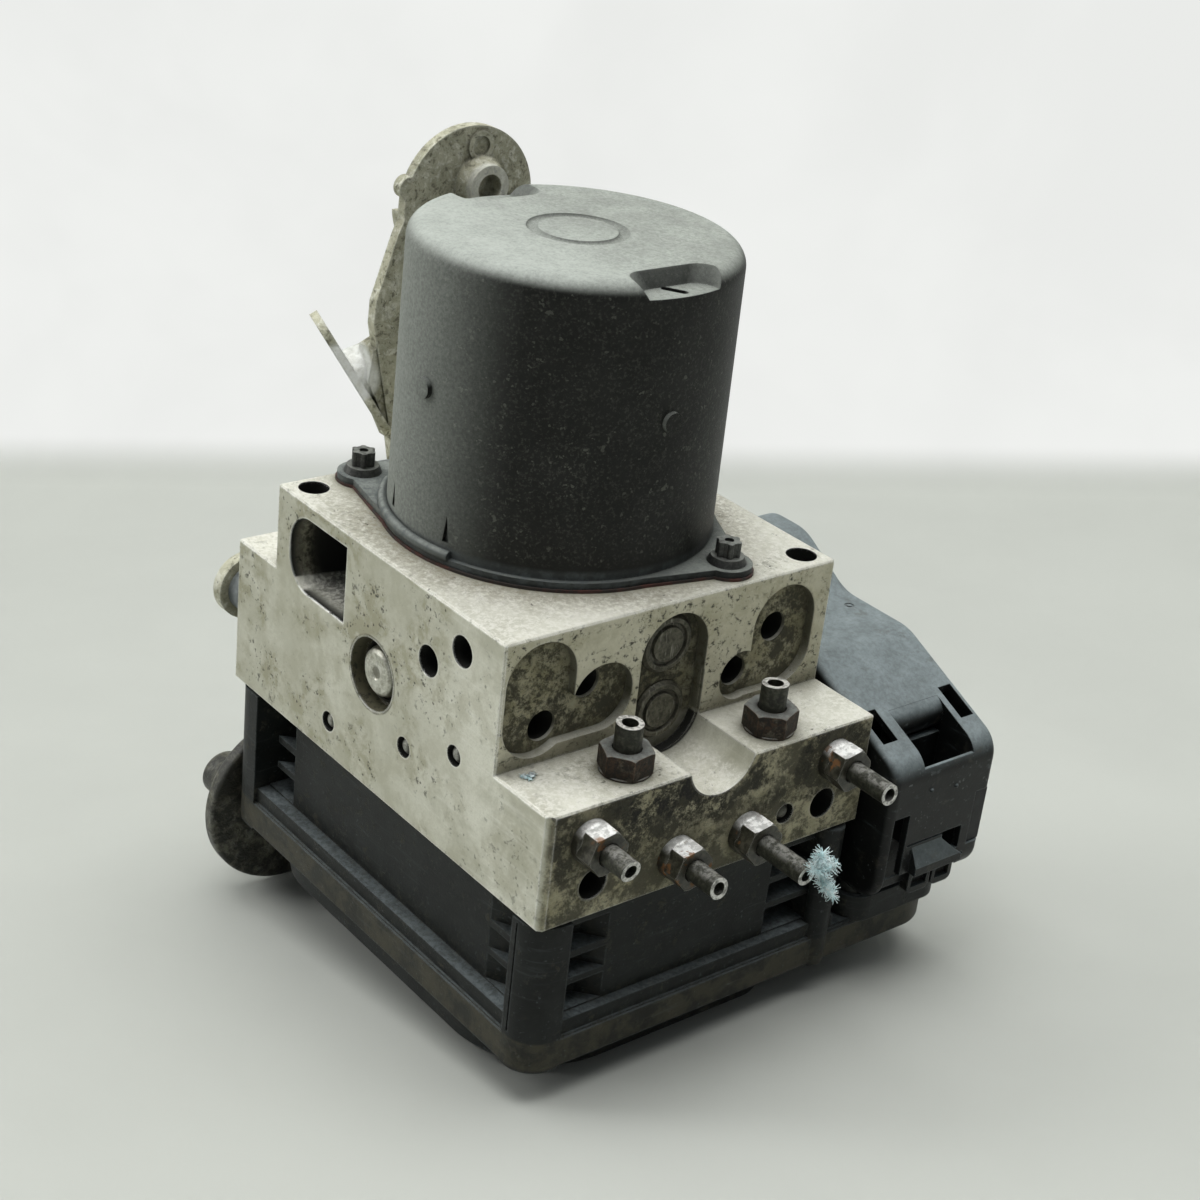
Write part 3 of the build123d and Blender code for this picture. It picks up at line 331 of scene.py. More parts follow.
    # What faces up carries pale grit with a few dark crumbs.
    grit = f.blot(1.1, 0.46, 0.58, 4, 0.75, shift=14.0)
    level = f.product(top, f.inverse(inside))
    settled = f.product(level, f.rise(reach, 0.55, 0.9), f.mix(grit, 0.25, 0.85))
    colour = f.blend(settled, colour, look["grit"])
    # Near the motor the top is darkened in a sand colour: partly dust, partly painted shade from the motor.
    sandAndMotorShade = f.product(level, f.rise(f.away(50, 52, None), 60, 43), f.rise(f.z, 50, 60))
    sandAndMotorShade = f.product(sandAndMotorShade, f.blot(1.2, 0.38, 0.60, 5, 0.8, shift=16.0))
    colour = f.blend(f.product(sandAndMotorShade, 0.85), colour, look["sand"])
    crumbs = f.product(level, f.blot(1.8, 0.62, 0.67, 4, 0.7, warp=0.0, shift=15.0), f.mix(cloud, 0.15, 0.9))
    colour = f.blend(crumbs, colour, look["grimeAndShade"])
    height = f.calc("SUBTRACT", f.product(grain, 0.35), f.product(freckles, 1.0))
    height = f.calc("ADD", height, f.product(f.either(sunk, ledge), f.calc("ADD", fleck, film)))
    f.bump(height, 0.16, soft)
    f.set("Metallic", f.mix(worn, 0.15, 0.75))
    return f.finish(colour, f.mix(worn, f.mix(f.either(ledge, sunk, inside), 0.46, 0.8), 0.38))


canLook = {
    "coat": (0.0055, 0.0058, 0.0048),
    "worn": (0.0115, 0.0120, 0.0105),
    "speckle": (0.088, 0.092, 0.076),
    "dust": (0.370, 0.395, 0.360),
    "dustAndHighlight": (0.50, 0.535, 0.50),
    "flange": (0.085, 0.098, 0.100),
    "shade": (0.006, 0.006, 0.006),
}


def coatedCan():
    look = canLook
    f = Finish("coatedCan", IOR=1.32)
    nx, ny, nz = f.facing
    up = f.rise(nz, 0.30, 0.95)
    soft = f.rounded(1.1)
    reach = f.openness(5.0)
    grain = f.noise(0.9, 4, 0.78)
    colour = f.blend(f.blot(15, 0.38, 0.66), look["coat"], look["worn"])
    # Fine light dust specks everywhere, in thicker drifts low down.
    drift = f.mix(f.product(f.blot(15, 0.40, 0.60, 3, 0.5, shift=3.0), f.rise(f.z, 132, 84)), 0.62, 1.0)
    specks = f.either(
        f.product(f.blot(0.75, 0.50, 0.68, 3, 0.7, warp=0.0, shift=1.0), 0.55),
        f.product(f.blot(1.6, 0.58, 0.70, 4, 0.75, warp=0.0, shift=4.0), 0.50),
        f.blot(1.5, 0.655, 0.69, 2, 0.5, warp=0.0, shift=5.0),
    )
    side = f.product(f.inverse(up), f.rise(f.z, 68, 70))
    colour = f.blend(f.product(specks, side, drift), colour, look["speckle"])
    # The side turned towards the left and back is painted pale in the dust colour: a painted sheen for the
    # light along that side.
    lean = f.calc("ADD", f.product(nx, -0.783), f.product(ny, 0.614))
    paintedSheen = f.product(f.rise(lean, 0.22, 1.10), f.mix(f.rise(grain, 0.35, 0.65), 0.62, 1.0))
    colour = f.blend(f.product(paintedSheen, 0.78), colour, look["dust"])
    # The top is sandy, cleaner at the rubbed rim, and darker in the ring and the two dips, where the sand is
    # thinned as painted shade.
    sand = f.mix(f.blot(0.9, 0.30, 0.65, 4, 0.8, shift=2.0), 0.66, 1.0)
    sand = f.product(sand, f.mix(f.blot(14, 0.35, 0.65, shift=9.0), 0.78, 1.0), f.rise(reach, 0.35, 0.95))
    colour = f.blend(f.product(up, sand), colour, look["dust"])
    # Towards the left the top is paler: partly dust, partly a painted highlight for the light from that side.
    bright = f.product(up, f.rise(f.x, 62, 16), 0.55)
    colour = f.blend(f.product(bright, sand), colour, look["dustAndHighlight"])
    # The flange round the foot is greyer and rubbed.
    foot = f.rise(f.z, 68.4, 66.9)
    rub = f.mix(f.blot(3.2, 0.4, 0.65, shift=6.0), 0.35, 0.85)
    colour = f.blend(f.product(foot, rub, f.mix(f.rise(f.x, 70, 20), 0.35, 1.0)), colour, look["flange"])
    colour = f.blend(f.rise(reach, 0.45, 0.2), colour, look["shade"])
    f.bump(f.calc("ADD", f.product(grain, 0.6), f.product(specks, 0.5)), 0.10, soft)
    return f.finish(colour, f.mix(f.either(up, paintedSheen), 0.50, 0.85))


unitLook = {
    "body": (0.0062, 0.0074, 0.0072),
    "cloud": (0.0135, 0.0158, 0.0152),
    "dust": (0.165, 0.192, 0.200),
    "band": (0.050, 0.046, 0.031),
    "mud": (0.085, 0.079, 0.058),
    "shade": (0.0025, 0.0028, 0.003),
}


def dustyHousing():
    look = unitLook
    f = Finish("dustyHousing", IOR=1.30)
    up = f.rise(f.facing[2], 0.25, 0.80)
    soft = f.rounded(0.7)
    reach = f.openness(6.0)
    grain = f.noise(0.8, 4, 0.75)
    colour = f.blend(f.blot(13, 0.35, 0.68, warp=0.5), look["body"], look["cloud"])
    # The base plate's rim is browner than the box.
    band = f.product(f.rise(f.z, -32.8, -33.6), f.rise(f.z, -41.6, -40.4))
    band = f.product(band, f.mix(f.blot(8, 0.40, 0.58, shift=8.0), 0.25, 0.95))
    colour = f.blend(band, colour, look["band"])
    # Splashes dried on the walls, wiped marks along them, dust on each shelf.
    splash = f.product(f.blot(2.6, 0.54, 0.64, 5, 0.78, shift=2.0), f.blot(15, 0.44, 0.58, shift=4.1), 0.5)
    colour = f.blend(splash, colour, look["mud"])
    drops = f.product(f.blot(1.1, 0.62, 0.70, 3, 0.6, warp=0.0, shift=6.2), 0.22)
    colour = f.blend(drops, colour, look["dust"])
    wiped = f.product(f.blot(2.0, 0.56, 0.72, 4, 0.65, stretch=(0.12, 0.12, 1.4), shift=5.0), 0.12)
    colour = f.blend(wiped, colour, look["dust"])
    powder = f.mix(f.blot(1.4, 0.38, 0.60, 4, 0.78, shift=4.0), 0.45, 1.0)
    powder = f.product(up, f.rise(reach, 0.25, 0.75), powder)
    colour = f.blend(powder, colour, look["dust"])
    crust = f.product(f.rise(reach, 0.80, 0.58), f.blot(1.7, 0.42, 0.60, 5, 0.75, shift=10.0), 0.30)
    colour = f.blend(crust, colour, look["mud"])
    colour = f.blend(f.rise(reach, 0.42, 0.20), colour, look["shade"])
    edge = f.product(f.corners(soft), f.rise(reach, 0.66, 0.82), f.blot(2.8, 0.35, 0.6, shift=12.0), 0.5)
    colour = f.blend(edge, colour, look["dust"])
    f.bump(f.calc("ADD", f.product(grain, 0.6), f.product(splash, 1.2)), 0.12, soft)
    return f.finish(colour, f.mix(f.either(powder, splash), 0.45, 0.85))


hoodLook = {
    "body": (0.0062, 0.0067, 0.0066),
    "cloud": (0.0125, 0.0135, 0.0134),
    "dust": (0.262, 0.308, 0.320),
    "fleck": (0.30, 0.33, 0.33),
    "smudge": (0.075, 0.070, 0.054),
    "shade": (0.0025, 0.0026, 0.003),
}


def hoodPlastic():
    look = hoodLook
    f = Finish("hoodPlastic", IOR=1.31)
    up = f.rise(f.facing[2], 0.15, 0.85)
    soft = f.rounded(0.6)
    reach = f.openness(6.0)
    grain = f.noise(0.8, 3, 0.7)
    colour = f.blend(f.blot(12, 0.35, 0.7, warp=0.4), look["body"], look["cloud"])
    powder = f.mix(f.blot(8, 0.30, 0.70, 5, 0.65, shift=4.0), 0.62, 0.94)
    powder = f.product(powder, f.mix(f.blot(1.2, 0.38, 0.6, 4, 0.75, shift=7.0), 0.78, 1.0))
    powder = f.product(up, powder, f.rise(reach, 0.25, 0.7))
    colour = f.blend(powder, colour, look["dust"])
    wiped = f.product(f.blot(2.4, 0.58, 0.74, 4, 0.65, stretch=(0.6, 0.14, 1.0), shift=5.0), 0.2)
    colour = f.blend(wiped, colour, look["dust"])
    flecks = f.product(f.blot(1.1, 0.63, 0.68, 3, 0.6, warp=0.0, shift=6.0), 0.35)
    flecks = f.product(flecks, f.mix(f.blot(10, 0.45, 0.6, shift=1.4), 0.25, 0.8))
    colour = f.blend(flecks, colour, look["fleck"])
    smudge = f.product(f.blot(6.0, 0.56, 0.66, 5, 0.7, shift=3.3), 0.35)
    colour = f.blend(smudge, colour, look["smudge"])
    colour = f.blend(f.rise(reach, 0.42, 0.2), colour, look["shade"])
    edge = f.product(f.corners(soft), f.rise(reach, 0.66, 0.82), 0.3)
    colour = f.blend(edge, colour, look["dust"])
    f.bump(grain, 0.04, soft)
    return f.finish(colour, f.mix(powder, 0.36, 0.72))


innerLook = {
    "body": (0.008, 0.008, 0.009),
    "light": (0.019, 0.020, 0.021),
    "film": (0.09, 0.10, 0.10),
}


def innerPlastic():
    look = innerLook
    f = Finish("innerPlastic", IOR=1.36)
    soft = f.rounded(0.4)
    grain = f.noise(0.8, 4, 0.7)
    colour = f.blend(f.blot(6, 0.35, 0.7), look["body"], look["light"])
    film = f.product(f.blot(1.9, 0.52, 0.64, shift=3.0), f.rise(f.facing[2], -0.2, 0.8), 0.5)
    colour = f.blend(film, colour, look["film"])
    f.bump(grain, 0.05, soft)
    return f.finish(colour, f.mix(grain, 0.38, 0.6))


bracketLook = {
    "casting": (0.50, 0.49, 0.37),
    "shade": (0.34, 0.335, 0.245),
    "light": (0.78, 0.78, 0.69),
    "dirtAndShade": (0.125, 0.118, 0.080),
    "machined": (0.86, 0.87, 0.84),
    "soot": (0.009, 0.009, 0.007),
    "earHole": (70.0, None, 127.5),
    "webBoss": (36.5, 125.2, 77.0),
}


def castBracket():
    look = bracketLook
    f = Finish("castBracket", Metallic=0.1, IOR=1.5)
    soft = f.rounded(0.9)
    reach = f.openness(6.0)
    lumps = f.noise(3.0, 5, 0.75, warp=0.5)
    colour = f.blend(f.blot(12, 0.38, 0.62, shift=3.0), look["casting"], look["shade"])
    colour = f.blend(f.product(f.rise(lumps, 0.50, 0.62), 0.6), colour, look["light"])
    colour = f.blend(f.product(f.rise(lumps, 0.47, 0.37), 0.75), colour, look["dirtAndShade"])
    colour = f.blend(f.product(f.blot(1.9, 0.58, 0.63, 4, 0.7, shift=6.0), 0.8), colour, look["dirtAndShade"])
    edge = f.product(f.corners(soft), f.rise(reach, 0.66, 0.82), f.blot(2.6, 0.32, 0.52, shift=8.0), 0.6)
    colour = f.blend(edge, colour, look["light"])
    # Hollows darken with dirt and painted shade.
    colour = f.blend(f.product(f.rise(reach, 0.80, 0.45), 0.85), colour, look["dirtAndShade"])
    # The lower ears are painted almost black, a painted shade where they hang low, blotched a little.
    low = f.product(f.rise(f.z, -10, -24), f.mix(f.blot(5, 0.45, 0.62, shift=2.0), 0.96, 0.70))
    colour = f.blend(low, colour, look["soot"])
    # Faced bosses: the hole in the top ear and the one on the leaning web.
    hole = f.product(f.within(f.away(*look["earHole"]), 3.9, 6.2, 0.3), f.rise(f.y, 116.0, 114.4))
    boss = f.rise(f.away(*look["webBoss"]), 10.0, 8.2)
    bright = f.mix(f.blot(1.8, 0.35, 0.6, shift=9.0), 0.7, 1.0)
    bright = f.product(f.either(f.product(hole, 0.4), boss), bright)
    colour = f.blend(bright, colour, look["machined"])
    f.bump(f.product(lumps, f.mix(bright, 1.0, 0.2)), 0.6, soft)
    return f.finish(colour, f.mix(f.either(bright, low), 0.72, 0.36))


zincLook = {
    "old": (0.022, 0.021, 0.014),
    "thin": (0.085, 0.081, 0.060),
    "plate": (0.95, 0.95, 0.93),
    "edge": (0.55, 0.55, 0.50),
    "rust": (0.25, 0.115, 0.042),
    "dirtAndShade": (0.014, 0.013, 0.009),
}


def zincNut():
    look = zincLook
    f = Finish("zincNut", Metallic=0.1, IOR=1.5)
    soft = f.rounded(0.35)
    reach = f.openness(4.0)
    stain = f.noise(3.6, 4, 0.62, warp=0.4)
    rust = f.product(f.rise(stain, 0.53, 0.58), f.blot(8, 0.50, 0.55, 3, 0.5, shift=2.6))
    up = f.rise(f.facing[2], 0.45, 0.86)
    # The plating has gone dark and olive; the flats that face up are painted near-white in patches, a painted
    # highlight.
    colour = f.blend(f.blot(1.8, 0.38, 0.64, shift=4.0), look["old"], look["thin"])
    plate = f.product(up, f.mix(f.blot(2.0, 0.44, 0.58, shift=7.0), 1.0, 0.55))
    colour = f.blend(plate, colour, look["plate"])
    edge = f.product(f.corners(soft), f.rise(reach, 0.62, 0.80), 0.5)
    colour = f.blend(edge, colour, look["edge"])
    colour = f.blend(f.product(rust, 0.8), colour, look["rust"])
    # Hollows and joins darken with dirt and painted shade.
    colour = f.blend(f.product(f.rise(reach, 0.75, 0.4), 0.9), colour, look["dirtAndShade"])
    f.bump(stain, 0.14, soft)
    return f.finish(colour, f.mix(rust, 0.36, 0.85))


rustyLook = {
    "dark": (0.014, 0.012, 0.009),
    "crust": (0.050, 0.028, 0.016),
    "patch": (0.17, 0.15, 0.115),
    "dust": (0.25, 0.265, 0.25),
    "edge": (0.36, 0.22, 0.13),
    "dirtAndShade": (0.012, 0.010, 0.007),
}


def rustyNut():
    look = rustyLook
    f = Finish("rustyNut", Metallic=0.1, IOR=1.4)
    soft = f.rounded(0.4)
    reach = f.openness(4.0)
    crust = f.noise(1.4, 5, 0.78, warp=0.6)
    up = f.rise(f.facing[2], 0.2, 0.7)
    colour = f.blend(f.rise(crust, 0.42, 0.62), look["dark"], look["crust"])
    patch = f.product(f.blot(4.2, 0.50, 0.60, shift=3.0), f.blot(1.9, 0.42, 0.58, shift=5.0))
    colour = f.blend(f.product(patch, 0.6), colour, look["patch"])
    dust = f.product(up, f.mix(f.blot(1.9, 0.42, 0.58, shift=7.0), 0.95, 0.6))
    colour = f.blend(dust, colour, look["dust"])
    edge = f.product(f.corners(soft), f.rise(reach, 0.62, 0.80), f.blot(1.9, 0.38, 0.54, shift=9.0))
    colour = f.blend(f.product(edge, 0.6), colour, look["edge"])
    # Hollows and joins darken with dirt and painted shade.
    colour = f.blend(f.product(f.rise(reach, 0.78, 0.45), 0.8), colour, look["dirtAndShade"])
    f.bump(crust, 0.30, soft)
    return f.finish(colour, 0.66)


cutLook = {
    "coat": (0.020, 0.021, 0.014),
    "pale": (0.062, 0.062, 0.045),
    "cut": (0.72, 0.71, 0.67),
    "dirtAndShade": (0.012, 0.012, 0.009),
}


# Pipe stubs: an olive coat with a bright, smeared ring where each was cut; bright sets how strongly the sides
# that face up are painted pale as a painted highlight.
def cutPipe(name, along, bright):
    look = cutLook
    f = Finish(name, Metallic=0.1, IOR=1.4)
    soft = f.rounded(0.25)
    reach = f.openness(3.0)
    coat = f.noise(1.4, 4, 0.75, warp=0.3)
    colour = f.blend(f.rise(coat, 0.42, 0.64), look["coat"], look["pale"])
    colour = f.blend(f.product(f.blot(2.4, 0.52, 0.62, shift=3.0), 0.7), colour, look["dirtAndShade"])
    # Sides that face up are painted pale in the cut-metal colour: a painted highlight.
    lit = f.product(f.rise(f.facing[2], 0.35, 0.98), bright)
    lit = f.product(lit, f.mix(f.blot(1.7, 0.42, 0.60, shift=6.0), 0.02, 0.40))
    colour = f.blend(lit, colour, look["cut"])
    ending = f.rise(f.calc("ABSOLUTE", f.facing[along]), 0.80, 0.92)
    smear = f.mix(f.blot(1.2, 0.38, 0.58, 4, 0.7, shift=8.0), 0.25, 1.0)
    colour = f.blend(f.product(ending, smear), colour, look["cut"])
    # Hollows and joins darken with dirt and painted shade.
    colour = f.blend(f.product(f.rise(reach, 0.62, 0.35), 0.95), colour, look["dirtAndShade"])
    f.bump(coat, 0.16, soft)
    return f.finish(colour, f.mix(ending, 0.52, 0.34))


steelLook = {"dark": (0.40, 0.395, 0.36), "light": (0.58, 0.575, 0.53), "stain": (0.10, 0.095, 0.075)}


def plainSteel():
    look = steelLook
    f = Finish("plainSteel", Metallic=0.8)
    grain = f.noise(0.9, 5, 0.7)
    stain = f.noise(3.6, 4, 0.65, shift=2.0)
    colour = f.blend(f.rise(grain, 0.35, 0.7), look["dark"], look["light"])
    colour = f.blend(f.product(f.rise(stain, 0.50, 0.66), 0.7), colour, look["stain"])
    f.bump(grain, 0.08)
    return f.finish(colour, f.mix(stain, 0.32, 0.55))


ballLook = {
    "dark": (0.20, 0.20, 0.17),
    "light": (0.42, 0.42, 0.38),
    "shade": (0.045, 0.044, 0.032),
    "dirtAndShade": (0.03, 0.028, 0.02),
}


def sealingBall():
    look = ballLook
    f = Finish("sealingBall", Metallic=0.5)
    grain = f.noise(0.6, 5, 0.7)
    dark = f.rise(f.facing[1], -0.1, -0.6)
    colour = f.blend(f.rise(grain, 0.35, 0.7), look["dark"], look["light"])
    colour = f.blend(f.product(dark, 0.8), colour, look["shade"])
    # Hollows and joins darken with dirt and painted shade.
    colour = f.blend(f.product(f.rise(f.openness(2.5), 0.7, 0.35), 0.8), colour, look["dirtAndShade"])
    f.bump(grain, 0.1)
    return f.finish(colour, 0.4)


boltLook = {
    "dark": (0.035, 0.036, 0.034),
    "light": (0.085, 0.087, 0.080),
    "dust": (0.36, 0.375, 0.345),
    "edge": (0.42, 0.43, 0.40),
    "dirtAndShade": (0.012, 0.012, 0.010),
}


def boltSteel():
    look = boltLook
    f = Finish("boltSteel", Metallic=0.5)
    soft = f.rounded(0.3)
    reach = f.openness(3.0)
    grain = f.noise(0.8, 5, 0.7)
    up = f.rise(f.facing[2], 0.4, 0.8)
    colour = f.blend(f.rise(grain, 0.35, 0.7), look["dark"], look["light"])
    colour = f.blend(f.product(up, f.blot(1.8, 0.30, 0.62, shift=2.0), 0.75), colour, look["dust"])
    edge = f.product(f.corners(soft), f.rise(reach, 0.65, 0.85), 0.5)
    colour = f.blend(edge, colour, look["edge"])
    # Hollows and joins darken with dirt and painted shade.
    colour = f.blend(f.product(f.rise(reach, 0.6, 0.3), 0.9), colour, look["dirtAndShade"])
    f.bump(grain, 0.12, soft)
    return f.finish(colour, 0.45)


plugLook = {
    "dark": (0.46, 0.455, 0.385),
    "light": (0.66, 0.655, 0.58),
    "stain": (0.20, 0.19, 0.135),
    "turned": (0.85, 0.85, 0.82),
    "rim": (0.13, 0.125, 0.095),
    "gap": (0.018, 0.017, 0.012),
}


def pumpPlug():
    look = plugLook
    f = Finish("pumpPlug", Metallic=0.6)
    soft = f.rounded(0.4)
    grain = f.noise(0.8, 4, 0.7)
    away = f.away(*pumpAxis)
    colour = f.blend(f.rise(grain, 0.35, 0.7), look["dark"], look["light"])
    stain = f.product(f.blot(2.2, 0.46, 0.60, 5, 0.75, shift=4.0), 0.65)
    colour = f.blend(stain, colour, look["stain"])
    turned = f.rise(f.noise(0.5, 2, 0.5, stretch=(3.0, 0.2, 0.2), shift=2.0), 0.5, 0.7)
    colour = f.blend(f.product(turned, 0.25), colour, look["turned"])
    rim = f.either(f.rise(away, 5.4, 6.1), f.rise(away, 1.9, 1.2))
    colour = f.blend(f.product(rim, 0.7), colour, look["rim"])
    colour = f.blend(f.rise(away, 6.5, 7.0), colour, look["gap"])
    f.bump(grain, 0.12, soft)
    return f.finish(colour, 0.36)


capLook = {
    "dark": (0.040, 0.038, 0.026),
    "light": (0.125, 0.118, 0.085),
    "scrape": (0.36, 0.35, 0.29),
    "edge": (0.30, 0.29, 0.23),
    "dirtAndShade": (0.012, 0.011, 0.008),
}


# The accumulator caps: black dirt and painted shade in the rings, scraped where something rubbed them.
def grimyCap():
    look = capLook
    f = Finish("grimyCap", Metallic=0.25)
    soft = f.rounded(0.35)
    reach = f.openness(4.0)
    film = f.noise(2.0, 6, 0.75, warp=0.4)
    colour = f.blend(f.rise(film, 0.38, 0.62), look["dark"], look["light"])
    scrape = f.blot(0.7, 0.55, 0.66, 3, 0.6, stretch=(1.0, 1.0, 0.14), shift=5.0)
    scrape = f.product(scrape, f.blot(5, 0.4, 0.6, shift=1.0), 0.6)
    colour = f.blend(scrape, colour, look["scrape"])
    edge = f.product(f.corners(soft), f.rise(reach, 0.6, 0.8), 0.5)
    colour = f.blend(edge, colour, look["edge"])
    # Hollows darken with dirt and painted shade.
    colour = f.blend(f.product(f.rise(reach, 0.62, 0.35), 0.9), colour, look["dirtAndShade"])
    f.bump(film, 0.18, soft)
    return f.finish(colour, 0.5)


gasketLook = {"red": (0.070, 0.022, 0.016), "brown": (0.024, 0.019, 0.016)}


def gasketSheet():
    look = gasketLook
    f = Finish("gasketSheet")
    grain = f.noise(0.7, 4, 0.7)
    colour = f.blend(f.blot(6, 0.40, 0.58, shift=2.0), look["red"], look["brown"])
    f.bump(grain, 0.08)
    return f.finish(colour, 0.7)


def sealRubber(name, dark, light, powder):
    f = Finish(name)
    soft = f.rounded(0.4)
    grain = f.noise(0.6, 4, 0.7)
    colour = f.blend(f.blot(4, 0.40, 0.70, 3), dark, light)
    film = f.product(f.rise(f.facing[2], -0.1, 0.8), f.blot(1.4, 0.35, 0.65, shift=3.0), powder)
    colour = f.blend(film, colour, (0.34, 0.36, 0.35))
    f.bump(grain, 0.06, soft)
    return f.finish(colour, 0.62)


copperLook = {"strand": (0.62, 0.27, 0.12), "gap": (0.34, 0.12, 0.05)}


def copperWire():
    look = copperLook
    f = Finish("copperWire", Metallic=0.9)
    strands = f.cells(0.55, stretch=(1, 1, 0.2))
    colour = f.blend(f.rise(strands, 0.1, 0.6), look["strand"], look["gap"])
    f.bump(strands, 0.2)
    return f.finish(colour, 0.35)


magnetLook = {"dark": (0.045, 0.045, 0.05), "light": (0.085, 0.085, 0.09)}


def magnetBlock():
    look = magnetLook
    f = Finish("magnetBlock")
    grain = f.noise(0.7, 5, 0.7)
    colour = f.blend(grain, look["dark"], look["light"])
    f.bump(grain, 0.12)
    return f.finish(colour, 0.6)


boardLook = {"mask": (0.012, 0.085, 0.035), "track": (0.05, 0.20, 0.09)}


def boardLaminate():
    look = boardLook
    f = Finish("boardLaminate", Coat_Weight=0.3, Coat_Roughness=0.25)
    tracks = f.rise(f.cells(3.0, "DISTANCE_TO_EDGE", stretch=(1, 0.4, 1)), 0.08, 0.05)
    colour = f.blend(f.product(tracks, 0.8), look["mask"], look["track"])
    f.bump(tracks, 0.05)
    return f.finish(colour, 0.45)


clothLook = {"blue": (0.68, 0.92, 0.95), "white": (0.97, 1.0, 1.0), "soiled": (0.32, 0.56, 0.62)}


def blueCloth():
    look = clothLook
    f = Finish("blueCloth", Sheen_Weight=0.3, Sheen_Roughness=0.4)
    colour = f.blend(f.blot(2.2, 0.35, 0.7), look["blue"], look["white"])
    colour = f.blend(f.product(f.blot(2.4, 0.54, 0.62, shift=4.0), 0.4), colour, look["soiled"])
    f.bump(f.noise(0.3, 3), 0.05)
    return f.finish(colour, 0.85)


finishes = {
    "hydraulic_block": machinedBlock(),
    "motor_can": coatedCan(),
    "motor_gasket": gasketSheet(),
    "motor_bolts": boltSteel(),
    "ecu_housing": dustyHousing(),
    "plug_hood": hoodPlastic(),
    "plug_body": innerPlastic(),
    "bracket": castBracket(),
    "bracket_spacers": sealRubber("spacerRubber", (0.11, 0.125, 0.13), (0.17, 0.185, 0.19), 0.5),
    "front_tube_nuts": zincNut(),
    "top_tube_nuts": rustyNut(),
    "front_pipe_stubs": cutPipe("frontPipes", 1, 0.7),
    "top_pipe_stubs": cutPipe("topPipes", 2, 0.0),
    "pump_plug_left": pumpPlug(),
    "accumulator_cap_upper": grimyCap(),
    "sealing_balls": sealingBall(),
    "field_magnets": magnetBlock(),
    "circuit_board": boardLaminate(),
    "rag_scrap": blueCloth(),
    "armature_windings": copperWire(),
    "ecu_gasket": sealRubber("sealRubber", (0.020, 0.020, 0.021), (0.042, 0.043, 0.043), 0.1),
    "steel": plainSteel(),
}

sameFinish = {
    "ecu_cover": "ecu_housing",
    "pump_plug_right": "pump_plug_left",
    "accumulator_cap_lower": "accumulator_cap_upper",
    "brush_plate": "plug_body",
    "motor_feed_pin": "plug_body",
    "commutator": "armature_windings",
    "connector_pins": "armature_windings",
    "valve_coils": "armature_windings",
    "plug_seal": "ecu_gasket",
    "bracket_foot_left": "bracket",
    "bracket_foot_right": "bracket",
    "bracket_bolts": "motor_bolts",
    "rag_tuft": "rag_scrap",
}

for name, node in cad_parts.items():
    finish = finishes.get(name) or finishes[sameFinish.get(name, "steel")]
    node.data.materials.clear()
    node.data.materials.append(finish)
    for polygon in node.data.polygons:
        polygon.material_index = 0
print("finishes on", len(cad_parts), "nodes")


# Lint is built from small lumps of fibres; each lump has a centre, radii and a lean.
tuftLook = {
    "node": "rag_tuft",
    "fibres": 1150,
    "length": 2.1,
    "thickness": 0.075,
    "curl": 1.5,
    "seed": 11,
    "lumps": (
        {"centre": (61.4, -46.0, 15.0), "radii": (0.5, 0.4, 1.9), "lean": 14.0},
        {"centre": (60.0, -46.2, 12.4), "radii": (1.4, 0.4, 0.35), "lean": 14.0},
        {"centre": (62.2, -46.2, 11.4), "radii": (0.8, 0.5, 0.9), "lean": 0.0},
        {"centre": (65.2, -46.2, 11.8), "radii": (1.9, 0.35, 0.3), "lean": -16.0},
        {"centre": (63.4, -46.1, 8.4), "radii": (0.55, 0.4, 1.6), "lean": -18.0},
        {"centre": (66.4, -46.0, 4.4), "radii": (0.3, 0.3, 2.9), "lean": -40.0},
    ),
}

scrapLook = {
    "node": "rag_scrap",
    "fibres": 220,
    "length": 0.9,
    "thickness": 0.07,
    "curl": 0.8,
    "seed": 3,
    "lumps": (
        {"centre": (6.6, -4.4, 30.5), "radii": (1.0, 0.7, 0.16), "lean": 0.0},
        {"centre": (7.9, -3.7, 30.5), "radii": (0.9, 0.35, 0.15), "lean": 8.0},
        {"centre": (5.7, -3.5, 30.5), "radii": (0.5, 0.6, 0.14), "lean": -8.0},
        {"centre": (6.2, -5.3, 30.5), "radii": (0.4, 0.7, 0.14), "lean": 5.0},
    ),
}


def newGroup(name, inputs):
    tree = bpy.data.node_groups.new(name, "GeometryNodeTree")
    for label, kind in inputs:
        tree.interface.new_socket(name=label, in_out="INPUT", socket_type=kind)
    tree.interface.new_socket(name="Geometry", in_out="OUTPUT", socket_type="NodeSocketGeometry")
    return tree


# Adds a node and feeds its sockets, each from a plain value or from another node's output.
def wire(tree, kind, values, **settings):
    node = tree.nodes.new(kind)
    for key, value in settings.items():
        setattr(node, key, value)
    for key, value in values.items():
        if isinstance(value, bpy.types.NodeSocket):
            tree.links.new(value, node.inputs[key])
        else:
            node.inputs[key].default_value = value
    return node


